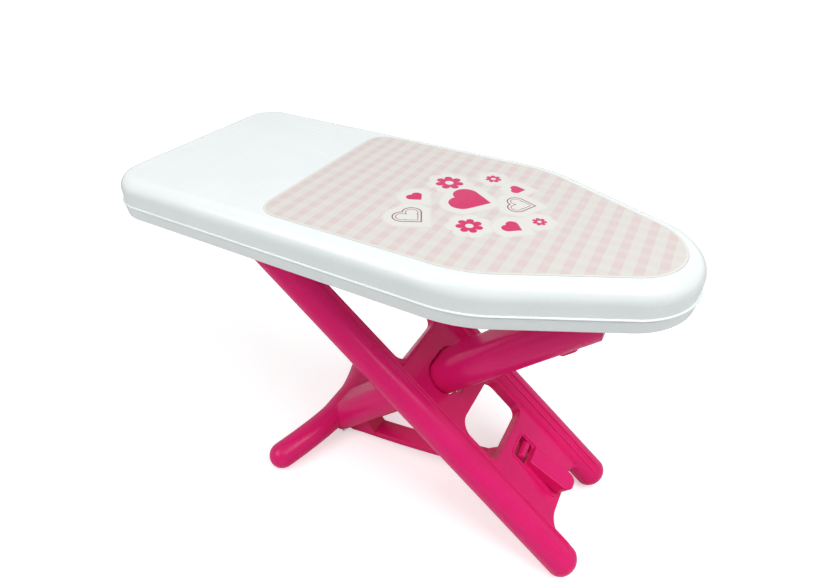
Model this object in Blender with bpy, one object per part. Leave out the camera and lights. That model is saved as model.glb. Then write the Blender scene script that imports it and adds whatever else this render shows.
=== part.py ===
"""Toy ironing board on two crossed legs, modelled piece by piece in metres, +Z up.

X runs from the square heel of the board to its nose, Y across it. The origin is on the
floor, under the middle of the board.
"""
import math

import bmesh
import bpy
from mathutils import Matrix, Vector

# Clearances, and how far a cutter runs past what it cuts
SEAT_GAP = 0.0003
SOCKET_GAP = 0.0005
SLIDE_GAP = 0.0016
OVERRUN = 0.010

# Board in plan
BOARD_LENGTH = 0.480
BOARD_WIDTH = 0.220
NOSE_RADIUS = 0.0636
NOSE_TAPER = math.radians(26.5)
SHOULDER_RADIUS = 0.106
HEEL_RADIUS = 0.035
HEEL_STEPS = 8
SHOULDER_STEPS = 6
NOSE_STEPS = 22

# Board in height, and the walls of its two shells
BOARD_UNDERSIDE = 0.2971
BOARD_THICKNESS = 0.0359
PARTING_HEIGHT = 0.0115
SHELL_WALL = 0.0025
TOP_EDGE_RADIUS = 0.0130
TOP_EDGE_STEPS = 6
EDGE_RIM_STEP = 0.0015
EDGE_RIM_HEIGHT = 0.0014
EDGE_RIM_ROUND = 0.0007
SKIRT_STEP = 0.0006
SKIRT_TAPER = 0.0012
SKIRT_EDGE_RADIUS = 0.0015
SKIRT_EDGE_STEPS = 3
LIP_HEIGHT = 0.0030
LIP_WALL = 0.0020

# Cover sheet in its recess
SHEET_MARGIN = 0.0165
SHEET_HEEL_X = -0.0820
SHEET_HEEL_RADIUS = 0.020
SHEET_THICKNESS = 0.0006
RECESS_DEPTH = 0.0006

# Screws that hold the shells together, placed by shares of the board's length and width
BOARD_SCREW_SHARES = ((-0.43, 0.36), (-0.14, 0.38), (0.15, 0.38), (0.37, 0.20))
SCREW_SHANK_RADIUS = 0.0016
SCREW_HEAD_RADIUS = 0.0036
SCREW_HEAD_HEIGHT = 0.0022
BOARD_SCREW_LENGTH = 0.0130
WELL_RADIUS = 0.0044
WELL_DEPTH = 0.0030
WELL_FLOOR = 0.0025
WELL_WALL = 0.0022
BOSS_RADIUS = 0.0050
PILOT_GAP = 0.0004
PILOT_SPARE = 0.0020
SCREW_SIDES = 12
BOSS_SIDES = 16

# Wide leg: two rails joined by a web, at a slant that rises towards the heel
RAIL_RADIUS = 0.0150
RAIL_FLARE = 0.0009
RAIL_END_DEPTH = 0.0141
RAIL_WALL = 0.0026
RAIL_SPREAD = 0.0570
RAIL_FOOT_X = 0.2065
RAIL_SLANT = math.radians(39.0)
RAIL_SIDES = 32
END_STEPS = 5
FOOT_FLAT = 0.0010
WEB_TOP = 0.0065
WEB_UNDER = 0.0060
WEB_END = 0.2440
WEB_FILLET = 0.0110
WEB_ARCH_CROWN = 0.0294
WEB_ARCH_HALF_WIDTH = 0.0445
WEB_ARCH_CORNER = 0.0195
BEAD_RADIUS = 0.0013
BEAD_START = 0.0200
BEAD_OFFSET = 0.0437
BEAD_HEIGHT = 0.0077
PEG_LENGTH = 0.0240
PEG_WIDTH = 0.0150
PEG_HEIGHT = 0.0070
COLLAR_WALL = 0.0022
COLLAR_HEIGHT = 0.0080
VENT_RADIUS = 0.0025

# Cut-outs of the web, by their distance up the leg from the rails' foot
WINDOW_START = 0.1105
WINDOW_END = 0.1615
WINDOW_HALF_WIDTH = 0.0383
WINDOW_UPPER_RADIUS = 0.0150
WINDOW_LOWER_RADIUS = 0.0090
SLOT_START = 0.0815
SLOT_END = 0.0980
SLOT_HALF_WIDTH = 0.0125
SLOT_CORNER_RADIUS = 0.0030
CORNER_STEPS = 5
ARCH_STEPS = 8

# Centre leg: an oval beam that rises towards the nose, and its key tab
BEAM_HALF_WIDTH = 0.0272
BEAM_HALF_DEPTH = 0.0175
BEAM_WALL = 0.0028
BEAM_X = 0.0505
BEAM_Z = 0.1433
BEAM_SLANT = math.radians(44.6)
BEAM_FOOT_REACH = 0.1820
BEAM_HEAD_X = 0.1852
BEAM_END_ROUND = 0.0040
BEAM_BLOCK = 0.0400
BEAM_STEPS = 12
KEY_START = 0.1270
KEY_LENGTH = 0.0190
KEY_WIDTH = 0.0220
KEY_DEPTH = 0.0048
KEY_ROUND = 0.0036
KEY_GAP = 0.0015

# Foot bar: a round bar that sweeps back and down to its two tips
BAR_RADIUS = 0.0148
BAR_HALF_LENGTH = 0.0880
BAR_CENTRE_X = -0.0820
BAR_CENTRE_Z = 0.0240
BAR_STRAIGHT = 0.0180
BAR_SWEEP = 0.0230
BAR_SWEEP_POWER = 1.35
BAR_STEPS = 9
BAR_SIDES = 28
BAR_SCREW_PLACE = 0.0190
BAR_SCREW_LENGTH = 0.0160
BAR_SCREW_WELL = 0.0050

# Lock arm: a flat strut from the beam's foot, with a hook through the web's slot
ARM_HALF_WIDTH = 0.0110
ARM_HALF_DEPTH = 0.0042
ARM_ROOT_X = -0.0570
ARM_FLOOR_GAP = 0.0026
ARM_SAG = 0.0030
ARM_KNEE = 0.0450
ARM_CORNER = 0.0012
ARM_STEPS = 10
HOOK_HALF_WIDTH = 0.0105
HOOK_HALF_DEPTH = 0.0022
HOOK_REACH = 0.0095
BARB_DEPTH = 0.0014
BARB_LENGTH = 0.0050
ROOT_TOP_REACH = 0.1460
ROOT_BOTTOM_REACH = 0.1800
ROOT_LEAN = 0.0120
ROOT_STEP = 0.0006
ARM_SCREW_REACH = 0.1560
ARM_SCREW_PLACE = 0.0051
ARM_SCREW_LENGTH = 0.0120
ARM_SCREW_SEAT = 0.0045
ARM_SCREW_WELL = 0.0450

# Release tongue: a wedge that rises over the web's lower edge, held by a stem with a foot
TONGUE_HALF_WIDTH = 0.0105
TONGUE_SLOT_GAP = 0.0010
TONGUE_END = 0.0325
TONGUE_SLOT_HEIGHT = 0.0128
TONGUE_END_HEIGHT = 0.0248
TONGUE_PIVOT = 0.0560
TONGUE_LIFT = 0.0028
TONGUE_ROUND = 0.0085
TONGUE_EDGE = 0.0012
TONGUE_STEPS = 6
STEM_HALF_WIDTH = 0.0050
STEM_LENGTH = 0.0040
STEM_HOLE_GAP = 0.0020
STEM_HOLE_SIDE_GAP = 0.0008
STEM_FOOT_HALF_WIDTH = 0.0085
STEM_FOOT_HEIGHT = 0.0030
STEM_FOOT_GAP = 0.0008

# Edges that turn by more than this stay sharp in the shading
SHARP_TURN = math.radians(35.0)

PINK = (0.78, 0.035, 0.19, 1.0)
DEEP_PINK = (0.70, 0.025, 0.16, 1.0)
WHITE = (0.86, 0.87, 0.88, 1.0)
CREAM = (0.93, 0.86, 0.83, 1.0)
STEEL = (0.60, 0.60, 0.62, 1.0)

# Places that follow from the sizes above
BOARD_TOP = BOARD_UNDERSIDE + BOARD_THICKNESS
PARTING_Z = BOARD_UNDERSIDE + PARTING_HEIGHT
CEILING_Z = BOARD_TOP - SHELL_WALL
INNER_WALL = EDGE_RIM_STEP + SHELL_WALL
BASE_FLOOR_Z = BOARD_UNDERSIDE + SHELL_WALL
WELL_TOP_Z = BOARD_UNDERSIDE + WELL_DEPTH + WELL_FLOOR
RAIL_FOOT_Z = RAIL_RADIUS - FOOT_FLAT
RAIL_TOP_Z = BOARD_UNDERSIDE - SEAT_GAP
RAIL_LENGTH = (RAIL_TOP_Z - RAIL_FOOT_Z) / math.sin(RAIL_SLANT)
PEG_X = RAIL_FOOT_X - RAIL_LENGTH * math.cos(RAIL_SLANT)
BAR_TIP_Z = BAR_RADIUS - FOOT_FLAT

LEG_FRAME = (
    Matrix.Translation((RAIL_FOOT_X, 0, RAIL_FOOT_Z))
    @ Matrix.Rotation(RAIL_SLANT, 4, "Y")
    @ Matrix.Rotation(math.pi, 4, "Z")
)
BEAM_FRAME = Matrix.Translation((BEAM_X, 0, BEAM_Z)) @ Matrix.Rotation(-BEAM_SLANT, 4, "Y")
CROSSING = LEG_FRAME.inverted() @ Vector((BEAM_X, 0, BEAM_Z))


def clear_scene():
    """Removes whatever the opened file holds."""
    for item in list(bpy.data.objects):
        bpy.data.objects.remove(item, do_unlink=True)


def plastic(name, colour, roughness, metallic=0.0):
    """One Principled material."""
    material = bpy.data.materials.new(name)
    material.use_nodes = True
    shader = material.node_tree.nodes["Principled BSDF"]
    shader.inputs["Base Color"].default_value = colour
    shader.inputs["Roughness"].default_value = roughness
    shader.inputs["Metallic"].default_value = metallic
    return material


def rounded(corners, radii, steps):
    """Closed outline through the corners, each turned by an arc of its radius."""
    outline = []
    for index, corner in enumerate(corners):
        corner = Vector(corner)
        arriving = (corner - Vector(corners[index - 1])).normalized()
        leaving = (Vector(corners[(index + 1) % len(corners)]) - corner).normalized()
        turn = arriving.angle_signed(leaving) * -1
        radius = radii[index]
        reach = radius * math.tan(abs(turn) / 2)
        side = math.copysign(1, turn)
        centre = corner - arriving * reach + Vector((-arriving.y, arriving.x)) * side * radius
        start = corner - arriving * reach - centre
        count = steps[index] if radius else 0
        for step in range(count + 1):
            share = step / count if count else 0
            outline.append(centre + Matrix.Rotation(turn * share, 2) @ start)
    return outline


def evenly_rounded(corners, radius, steps=CORNER_STEPS):
    """Outline whose corners all have the same radius."""
    return rounded(corners, [radius] * len(corners), [steps] * len(corners))


def rectangle(low_x, high_x, half_width):
    """Corners of a rectangle that is centred across Y."""
    return [(low_x, -half_width), (high_x, -half_width), (high_x, half_width), (low_x, half_width)]


def stadium(half_width, half_depth, steps):
    """Oval of two half circles, as (across, up) points."""
    outline = []
    straight = half_width - half_depth
    for side in (1, -1):
        for step in range(steps + 1):
            angle = (step / steps - 1 / 2) * math.pi
            outline.append(
                Vector((
                    side * (straight + half_depth * math.cos(angle)),
                    side * half_depth * math.sin(angle),
                ))
            )
    return outline


def circle(radius, sides, centre=(0, 0)):
    """Points of a circle in plan."""
    angles = [2 * math.pi * side / sides for side in range(sides)]
    return [
        Vector((centre[0] + radius * math.cos(angle), centre[1] + radius * math.sin(angle)))
        for angle in angles
    ]


def board_outline(inset, heel_x=-BOARD_LENGTH / 2, heel_radius=HEEL_RADIUS):
    """Plan of the board moved in by inset: square heel, straight sides, tapered round nose."""
    half_width = BOARD_WIDTH / 2 - inset
    nose = NOSE_RADIUS - inset
    apex = BOARD_LENGTH / 2 - NOSE_RADIUS + nose / math.sin(NOSE_TAPER)
    shoulder = apex - half_width / math.tan(NOSE_TAPER)
    heel = heel_x + inset
    corners = [
        (heel, -half_width),
        (shoulder, -half_width),
        (apex, 0),
        (shoulder, half_width),
        (heel, half_width),
    ]
    bend = SHOULDER_RADIUS - inset
    corner = heel_radius - inset
    return rounded(
        corners,
        [corner, bend, nose, bend, corner],
        [HEEL_STEPS, SHOULDER_STEPS, NOSE_STEPS, SHOULDER_STEPS, HEEL_STEPS],
    )


def loft(builder, rings):
    """Skins the rings in order and closes the first and the last."""
    loops = [[builder.verts.new(point) for point in ring] for ring in rings]
    count = len(loops[0])
    for lower, upper in zip(loops, loops[1:]):
        for index in range(count):
            after = (index + 1) % count
            builder.faces.new((lower[index], lower[after], upper[after], upper[index]))
    builder.faces.new(reversed(loops[0]))
    builder.faces.new(loops[-1])


def prism(builder, outline, low, high):
    """Upright prism on a plan outline."""
    loft(builder, [[(x, y, z) for x, y in outline] for z in (low, high)])


def side_prism(builder, outline, half_width):
    """Prism across Y on an outline of (x, z) points."""
    loft(builder, [[(x, y, z) for x, z in outline] for y in (-half_width, half_width)])


def make(name, shape, material=None, frame=None):
    """Turns a builder function into an object; one without a material is a hidden guide."""
    builder = bmesh.new()
    shape(builder)
    bmesh.ops.recalc_face_normals(builder, faces=builder.faces)
    mesh = bpy.data.meshes.new(name)
    builder.to_mesh(mesh)
    builder.free()
    piece = bpy.data.objects.new(name, mesh)
    bpy.context.scene.collection.objects.link(piece)
    if frame is not None:
        piece.matrix_world = frame
    if material is None:
        piece.hide_render = True
        piece.display_type = "WIRE"
    else:
        mesh.materials.append(material)
        mesh.shade_smooth()
        mesh.set_sharp_from_angle(angle=SHARP_TURN)
    return piece


def combine(piece, tool, operation, solver):
    """Adds a Boolean with the tool, which stays as a hidden guide."""
    modifier = piece.modifiers.new(tool.name, "BOOLEAN")
    modifier.solver = solver
    modifier.operation = operation
    modifier.object = tool


def unite(piece, name, shape, frame=None, solver="EXACT"):
    combine(piece, make(name, shape, frame=frame), "UNION", solver)


def cut(piece, name, shape, frame=None, solver="EXACT"):
    combine(piece, make(name, shape, frame=frame), "DIFFERENCE", solver)


def round_profile(radius, steps, first=0.0, last=math.pi / 2):
    """(inwards, up) points of a quarter round that starts at its outer side."""
    angles = [first + (last - first) * step / steps for step in range(steps + 1)]
    return [(radius * (1 - math.cos(angle)), radius * math.sin(angle)) for angle in angles]


def screw_places():
    """Plan places of the screws between the board's shells, both sides."""
    return [
        (BOARD_LENGTH * along, BOARD_WIDTH * across * side)
        for along, across in BOARD_SCREW_SHARES
        for side in (1, -1)
    ]


def screws(name, places, head_z, length, material, frame=Matrix()):
    """Pan-head screws of one kind, each its own piece, that point up from their heads."""
    seat = SCREW_HEAD_HEIGHT
    levels = (
        (SCREW_HEAD_RADIUS - SCREW_HEAD_HEIGHT / 2, 0),
        (SCREW_HEAD_RADIUS, SCREW_HEAD_HEIGHT / 2),
        (SCREW_HEAD_RADIUS, seat),
        (SCREW_SHANK_RADIUS, seat),
        (SCREW_SHANK_RADIUS, seat + length - SCREW_SHANK_RADIUS),
        (SCREW_SHANK_RADIUS / 2, seat + length),
    )

    def screw(builder):
        loft(builder, [[(x, y, z) for x, y in circle(radius, SCREW_SIDES)] for radius, z in levels])

    for number, (x, y) in enumerate(places, start=1):
        make(f"{name}_{number}", screw, material, frame @ Matrix.Translation((x, y, head_z)))


def bar_screw_places():
    """Places of the foot bar's screws on the beam's underside, in the beam's own frame."""
    along = (BEAM_FRAME.inverted() @ Vector((BAR_CENTRE_X, 0, BAR_CENTRE_Z))).x
    return [(along, side * BAR_SCREW_PLACE) for side in (1, -1)]


def arm_screw_places():
    """Places of the lock arm's screws, in the beam's own frame."""
    return [(-ARM_SCREW_REACH, side * ARM_SCREW_PLACE) for side in (1, -1)]


def peg_outline(grow):
    """Plan of the rails' pegs: ovals along the board, one over each rail."""
    half_length = PEG_LENGTH / 2 + grow
    half_width = PEG_WIDTH / 2 + grow
    oval = stadium(half_length, half_width, CORNER_STEPS + 1)
    return [[(PEG_X + x, side * RAIL_SPREAD + y) for x, y in oval] for side in (1, -1)]


def head_outline(grow):
    """Plan of the pocket round the beam's head, where it enters the board's base."""
    slope = math.tan(BEAM_SLANT)
    head_top = BEAM_HALF_DEPTH / math.cos(BEAM_SLANT)
    enter_x = BEAM_X + (BOARD_UNDERSIDE - BEAM_Z - head_top) / slope
    return rectangle(
        enter_x - SOCKET_GAP - grow,
        BEAM_HEAD_X + SOCKET_GAP + grow,
        BEAM_HALF_WIDTH + SOCKET_GAP + grow,
    )


def board_top(material):
    """Upper shell: a cup with a big round edge, a narrow rim, a recess for the sheet, bosses."""
    bend_z = BOARD_TOP - TOP_EDGE_RADIUS
    rim_top = PARTING_Z + EDGE_RIM_HEIGHT
    rim = [
        (0, PARTING_Z),
        (0, rim_top - EDGE_RIM_ROUND),
        (EDGE_RIM_ROUND, rim_top),
        (EDGE_RIM_STEP, rim_top),
    ]
    outside = [
        (EDGE_RIM_STEP + inwards, bend_z + up)
        for inwards, up in round_profile(TOP_EDGE_RADIUS, TOP_EDGE_STEPS)
    ]
    inside = [
        (INNER_WALL + inwards, bend_z + up)
        for inwards, up in round_profile(TOP_EDGE_RADIUS - SHELL_WALL, TOP_EDGE_STEPS)
    ]
    profile = inside[::-1] + [(INNER_WALL, PARTING_Z)] + rim + outside

    def shell(builder):
        loft(builder, [[(x, y, z) for x, y in board_outline(inset)] for inset, z in profile])

    def bosses(builder):
        for place in screw_places():
            prism(builder, circle(BOSS_RADIUS, BOSS_SIDES, place),
                  WELL_TOP_Z + SEAT_GAP, CEILING_Z + SHELL_WALL / 2)

    def pilots(builder):
        depth = BOARD_SCREW_LENGTH + PILOT_SPARE
        for place in screw_places():
            prism(builder, circle(SCREW_SHANK_RADIUS + PILOT_GAP, SCREW_SIDES, place),
                  PARTING_Z - OVERRUN, BOARD_UNDERSIDE + WELL_DEPTH + depth)

    def recess(builder):
        outline = sheet_outline(SEAT_GAP)
        prism(builder, outline, BOARD_TOP - RECESS_DEPTH, BOARD_TOP + OVERRUN)

    piece = make("board_top", shell, material)
    unite(piece, "boss_guide", bosses)
    cut(piece, "pilot_guide", pilots)
    cut(piece, "recess_guide", recess)


def board_base(material):
    """Lower shell: a tray with a tapered skirt, a locating lip, screw wells and sockets."""
    edge = round_profile(SKIRT_EDGE_RADIUS, SKIRT_EDGE_STEPS)
    foot_inset = SKIRT_STEP + SKIRT_TAPER
    skirt = [
        (foot_inset + inwards, BOARD_UNDERSIDE + SKIRT_EDGE_RADIUS - up)
        for inwards, up in edge[::-1]
    ]
    lip = INNER_WALL + SEAT_GAP
    rim_z = PARTING_Z - SEAT_GAP
    inner = lip + LIP_WALL
    profile = skirt + [
        (SKIRT_STEP, rim_z),
        (lip, rim_z),
        (lip, rim_z + LIP_HEIGHT),
        (inner, rim_z + LIP_HEIGHT),
        (inner + SKIRT_TAPER, BASE_FLOOR_Z),
    ]
    through = (BOARD_UNDERSIDE - OVERRUN, BOARD_UNDERSIDE + COLLAR_HEIGHT + OVERRUN)

    def tray(builder):
        loft(builder, [[(x, y, z) for x, y in board_outline(inset)] for inset, z in profile])

    def posts(builder):
        for place in screw_places():
            prism(builder, circle(WELL_RADIUS + WELL_WALL, BOSS_SIDES, place),
                  BASE_FLOOR_Z - SHELL_WALL / 2, WELL_TOP_Z)

    def collars(builder):
        for outline in peg_outline(SOCKET_GAP + COLLAR_WALL):
            prism(builder, outline, BASE_FLOOR_Z - SHELL_WALL / 2, BOARD_UNDERSIDE + COLLAR_HEIGHT)
        prism(builder, head_outline(COLLAR_WALL),
              BASE_FLOOR_Z - SHELL_WALL / 2, BOARD_UNDERSIDE + COLLAR_HEIGHT)

    def wells(builder):
        for place in screw_places():
            prism(builder, circle(WELL_RADIUS, BOSS_SIDES, place),
                  BOARD_UNDERSIDE - OVERRUN, BOARD_UNDERSIDE + WELL_DEPTH)

    def screw_holes(builder):
        for place in screw_places():
            prism(builder, circle(SCREW_SHANK_RADIUS + PILOT_GAP, SCREW_SIDES, place),
                  BOARD_UNDERSIDE + WELL_DEPTH - SEAT_GAP, WELL_TOP_Z + OVERRUN)

    def sockets(builder):
        for outline in peg_outline(SOCKET_GAP):
            prism(builder, outline, *through)
        prism(builder, head_outline(0), *through)

    piece = make("board_base", tray, material)
    unite(piece, "post_guide", posts)
    unite(piece, "collar_guide", collars)
    cut(piece, "well_guide", wells)
    cut(piece, "screw_hole_guide", screw_holes)
    cut(piece, "socket_guide", sockets)


def board_screws(material):
    """The screws between the two shells, driven up from the base's wells."""
    head_z = BOARD_UNDERSIDE + WELL_DEPTH - SEAT_GAP - SCREW_HEAD_HEIGHT
    screws("board_screw", screw_places(), head_z, BOARD_SCREW_LENGTH, material)


def sheet_outline(grow):
    """Plan of the cover sheet: the board's own outline, moved in, with a heel of its own."""
    inset = SHEET_MARGIN - grow
    return board_outline(inset, SHEET_HEEL_X - SHEET_MARGIN, SHEET_HEEL_RADIUS + SHEET_MARGIN)


def cover_sheet(material):
    """The thin printed sheet in its recess."""
    low = BOARD_TOP - RECESS_DEPTH + SEAT_GAP

    def sheet(builder):
        prism(builder, sheet_outline(0), low, low + SHEET_THICKNESS)

    make("cover_sheet", sheet, material)


def ball_end(radius, depth):
    """(along, radius) pairs of a round end, from its tip to the full bar."""
    pairs = []
    for step in range(END_STEPS):
        angle = (1 - step / END_STEPS) * math.pi / 2 * (1 - 1 / (2 * END_STEPS))
        pairs.append((-depth * math.sin(angle), radius * math.cos(angle)))
    return pairs


def rail_body(builder, inwards, top_z):
    """One body for each rail, a little wider at its round foot, cut level under the board."""
    radius = RAIL_RADIUS - inwards
    foot = radius + RAIL_FLARE
    for side in (1, -1):
        rings = []
        for along, size in ball_end(foot, RAIL_END_DEPTH - inwards) + [(0, foot)]:
            rings.append([
                (along, side * RAIL_SPREAD + y, z) for y, z in circle(size, RAIL_SIDES)
            ])
        level = []
        for y, z in circle(radius, RAIL_SIDES):
            along = (top_z - RAIL_FOOT_Z - z * math.cos(RAIL_SLANT)) / math.sin(RAIL_SLANT)
            level.append((along, side * RAIL_SPREAD + y, z))
        loft(builder, rings + [level])


def notch_outline():
    """Key way in the lower edge of the beam's hole, for the tab under the beam."""
    half_hole = BEAM_HALF_DEPTH + SLIDE_GAP
    deep = BEAM_HALF_DEPTH + KEY_DEPTH + KEY_GAP
    half_width = KEY_WIDTH / 2 + KEY_GAP
    return rectangle(CROSSING.x - deep, CROSSING.x - half_hole / 2, half_width)


def wide_leg(material):
    """Two hollow rails, the web between them with its cut-outs, and the pegs on top."""
    high = RAIL_LENGTH + RAIL_RADIUS * 2
    strip = WINDOW_HALF_WIDTH
    arch = WEB_ARCH_HALF_WIDTH
    web_outline = rounded(
        [
            (0, -RAIL_SPREAD), (high, -RAIL_SPREAD), (high, -strip), (WEB_END, -strip),
            (WEB_END, strip), (high, strip), (high, RAIL_SPREAD), (0, RAIL_SPREAD),
            (0, arch), (WEB_ARCH_CROWN, arch), (WEB_ARCH_CROWN, -arch), (0, -arch),
        ],
        [0, 0, 0, WEB_FILLET, WEB_FILLET, 0, 0, 0, 0, WEB_ARCH_CORNER, WEB_ARCH_CORNER, 0],
        [0, 0, 0, CORNER_STEPS, CORNER_STEPS, 0, 0, 0, 0, ARCH_STEPS, ARCH_STEPS, 0],
    )
    through = (-WEB_UNDER - OVERRUN, WEB_TOP + OVERRUN)

    def web(builder):
        prism(builder, web_outline, -WEB_UNDER, WEB_TOP)

    def rails(builder):
        rail_body(builder, 0, RAIL_TOP_Z)

    def beads(builder):
        for side in (1, -1):
            rings = [
                [(along, side * BEAD_OFFSET + y, BEAD_HEIGHT + z)
                 for y, z in circle(BEAD_RADIUS, SCREW_SIDES)]
                for along in (BEAD_START, high)
            ]
            loft(builder, rings)

    def rim(builder):
        rings = [
            [(WEB_END - BEAD_RADIUS + along, across, WEB_TOP + up)
             for along, up in circle(BEAD_RADIUS, SCREW_SIDES)]
            for across in (-strip, strip)
        ]
        loft(builder, rings)

    def above(builder):
        prism(builder, rectangle(-BOARD_LENGTH, BOARD_LENGTH, BOARD_WIDTH),
              RAIL_TOP_Z, RAIL_TOP_Z + BOARD_WIDTH)

    def pegs(builder):
        for outline in peg_outline(0):
            prism(builder, outline, RAIL_TOP_Z - RAIL_WALL, BOARD_UNDERSIDE + PEG_HEIGHT)

    def openings(builder):
        window = rounded(
            rectangle(WINDOW_START, WINDOW_END, WINDOW_HALF_WIDTH),
            [WINDOW_LOWER_RADIUS, WINDOW_UPPER_RADIUS, WINDOW_UPPER_RADIUS, WINDOW_LOWER_RADIUS],
            [CORNER_STEPS] * 4,
        )
        prism(builder, window, *through)
        slot = evenly_rounded(
            rectangle(SLOT_START, SLOT_END, SLOT_HALF_WIDTH), SLOT_CORNER_RADIUS
        )
        prism(builder, slot, *through)
        half_hole = STEM_LENGTH / 2 + STEM_HOLE_GAP
        stem_hole = rectangle(
            TONGUE_PIVOT - half_hole, TONGUE_PIVOT + half_hole, STEM_HALF_WIDTH + STEM_HOLE_SIDE_GAP
        )
        prism(builder, stem_hole, *through)

    def beam_hole(builder):
        hole = stadium(BEAM_HALF_WIDTH + SLIDE_GAP, BEAM_HALF_DEPTH + SLIDE_GAP, BEAM_STEPS)
        prism(builder, [(CROSSING.x + up, across) for across, up in hole][::-1], *through)

    def key_way(builder):
        prism(builder, notch_outline(), *through)

    def bores(builder):
        rail_body(builder, RAIL_WALL, RAIL_TOP_Z - RAIL_WALL)

    def vents(builder):
        for side in (1, -1):
            hole = circle(VENT_RADIUS, SCREW_SIDES, (PEG_X, side * RAIL_SPREAD))
            prism(builder, hole, RAIL_TOP_Z - OVERRUN, BOARD_UNDERSIDE + PEG_HEIGHT + OVERRUN)

    piece = make("wide_leg", web, material, LEG_FRAME)
    unite(piece, "rail_guide", rails, LEG_FRAME, solver="MANIFOLD")
    unite(piece, "bead_guide", beads, LEG_FRAME)
    unite(piece, "rim_guide", rim, LEG_FRAME)
    cut(piece, "board_side_guide", above)
    unite(piece, "peg_guide", pegs)
    cut(piece, "web_opening_guide", openings, LEG_FRAME)
    cut(piece, "beam_hole_guide", beam_hole, LEG_FRAME)
    cut(piece, "key_way_guide", key_way, LEG_FRAME)
    cut(piece, "rail_bore_guide", bores, LEG_FRAME)
    cut(piece, "vent_guide", vents)
    cut(piece, "wide_leg_floor_guide", floor_block)


def floor_block(builder):
    """Everything below the floor, which cuts the feet flat."""
    prism(builder, rectangle(-BOARD_LENGTH, BOARD_LENGTH, BOARD_WIDTH), -BOARD_THICKNESS, 0)


def beam_rings(grow, start, head_x):
    """Rings of the beam's oval, square at the foot and upright at the head."""
    foot = []
    for inwards, up in round_profile(BEAM_END_ROUND, SKIRT_EDGE_STEPS)[::-1]:
        section = stadium(
            BEAM_HALF_WIDTH + grow - inwards, BEAM_HALF_DEPTH + grow - inwards, BEAM_STEPS
        )
        foot.append([(start + BEAM_END_ROUND - up, y, z) for y, z in section])
    section = stadium(BEAM_HALF_WIDTH + grow, BEAM_HALF_DEPTH + grow, BEAM_STEPS)
    head = []
    for y, z in section:
        along = (head_x - BEAM_X + z * math.sin(BEAM_SLANT)) / math.cos(BEAM_SLANT)
        head.append((along, y, z))
    return foot + [head]


def centre_beam(material):
    """The single leg: a hollow oval beam with a saddle for the foot bar and a key tab."""

    def beam(builder):
        loft(builder, beam_rings(0, -BEAM_FOOT_REACH, BEAM_HEAD_X))

    def key(builder):
        outline = evenly_rounded(
            [
                (KEY_START, -BEAM_HALF_DEPTH - KEY_DEPTH),
                (KEY_START + KEY_LENGTH, -BEAM_HALF_DEPTH - KEY_DEPTH),
                (KEY_START + KEY_LENGTH, -BEAM_HALF_DEPTH + KEY_ROUND),
                (KEY_START, -BEAM_HALF_DEPTH + KEY_ROUND),
            ],
            KEY_ROUND,
        )
        side_prism(builder, outline, KEY_WIDTH / 2)

    def bore(builder):
        loft(builder, beam_rings(-BEAM_WALL, BEAM_BLOCK - BEAM_FOOT_REACH, BEAM_HEAD_X - BEAM_WALL))

    def saddle(builder):
        foot_bar_body(builder, BAR_RADIUS + SEAT_GAP)

    def vent(builder):
        hole = circle(VENT_RADIUS, SCREW_SIDES)
        middle_z = BEAM_Z + (BEAM_HEAD_X - BEAM_X) * math.tan(BEAM_SLANT)
        rings = [
            [(x, y, middle_z + z) for y, z in hole]
            for x in (BEAM_HEAD_X - OVERRUN, BEAM_HEAD_X + OVERRUN)
        ]
        loft(builder, rings)

    def screw_wells(builder):
        for place in bar_screw_places():
            prism(builder, circle(WELL_RADIUS, BOSS_SIDES, place),
                  -BEAM_HALF_DEPTH - OVERRUN, -BEAM_HALF_DEPTH + BAR_SCREW_WELL)

    def screw_ways(builder):
        hole = SCREW_SHANK_RADIUS + PILOT_GAP
        for place in bar_screw_places():
            prism(builder, circle(hole, SCREW_SIDES, place), -BEAM_HALF_DEPTH - OVERRUN, 0)
        for place in arm_screw_places():
            prism(builder, circle(hole, SCREW_SIDES, place), -BEAM_HALF_DEPTH - OVERRUN,
                  ARM_SCREW_LENGTH + PILOT_SPARE - BEAM_HALF_DEPTH - ARM_SCREW_SEAT)

    piece = make("centre_beam", beam, material, BEAM_FRAME)
    unite(piece, "key_guide", key, BEAM_FRAME)
    cut(piece, "beam_bore_guide", bore, BEAM_FRAME)
    cut(piece, "saddle_guide", saddle)
    cut(piece, "beam_vent_guide", vent)
    cut(piece, "bar_well_guide", screw_wells, BEAM_FRAME)
    cut(piece, "beam_screw_guide", screw_ways, BEAM_FRAME)


def foot_bar_body(builder, radius):
    """Round bar across the beam's foot; both halves sweep back and down to the floor."""
    route = []
    for step in range(-BAR_STEPS, BAR_STEPS + 1):
        share = abs(step) / BAR_STEPS
        across = math.copysign(BAR_STRAIGHT + (BAR_HALF_LENGTH - BAR_STRAIGHT) * share, step)
        if step == 0:
            route.append(Vector((BAR_CENTRE_X, -BAR_STRAIGHT, BAR_CENTRE_Z)))
        bend = share ** BAR_SWEEP_POWER
        route.append(Vector((
            BAR_CENTRE_X - BAR_SWEEP * bend,
            across,
            BAR_CENTRE_Z + (BAR_TIP_Z - BAR_CENTRE_Z) * bend,
        )))
    rings = []
    last = len(route) - 1
    for index, point in enumerate(route):
        ahead = (route[min(index + 1, last)] - route[max(index - 1, 0)]).normalized()
        out = ahead.cross(Vector((0, 0, 1))).normalized()
        up = out.cross(ahead)
        sizes = [(0, radius)]
        if index == 0:
            sizes = ball_end(radius, radius) + sizes
        if index == last:
            sizes = sizes + [(-along, size) for along, size in reversed(ball_end(radius, radius))]
        for along, size in sizes:
            rings.append([
                point + ahead * along + out * x + up * y for x, y in circle(size, BAR_SIDES)
            ])
    loft(builder, rings)


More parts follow.
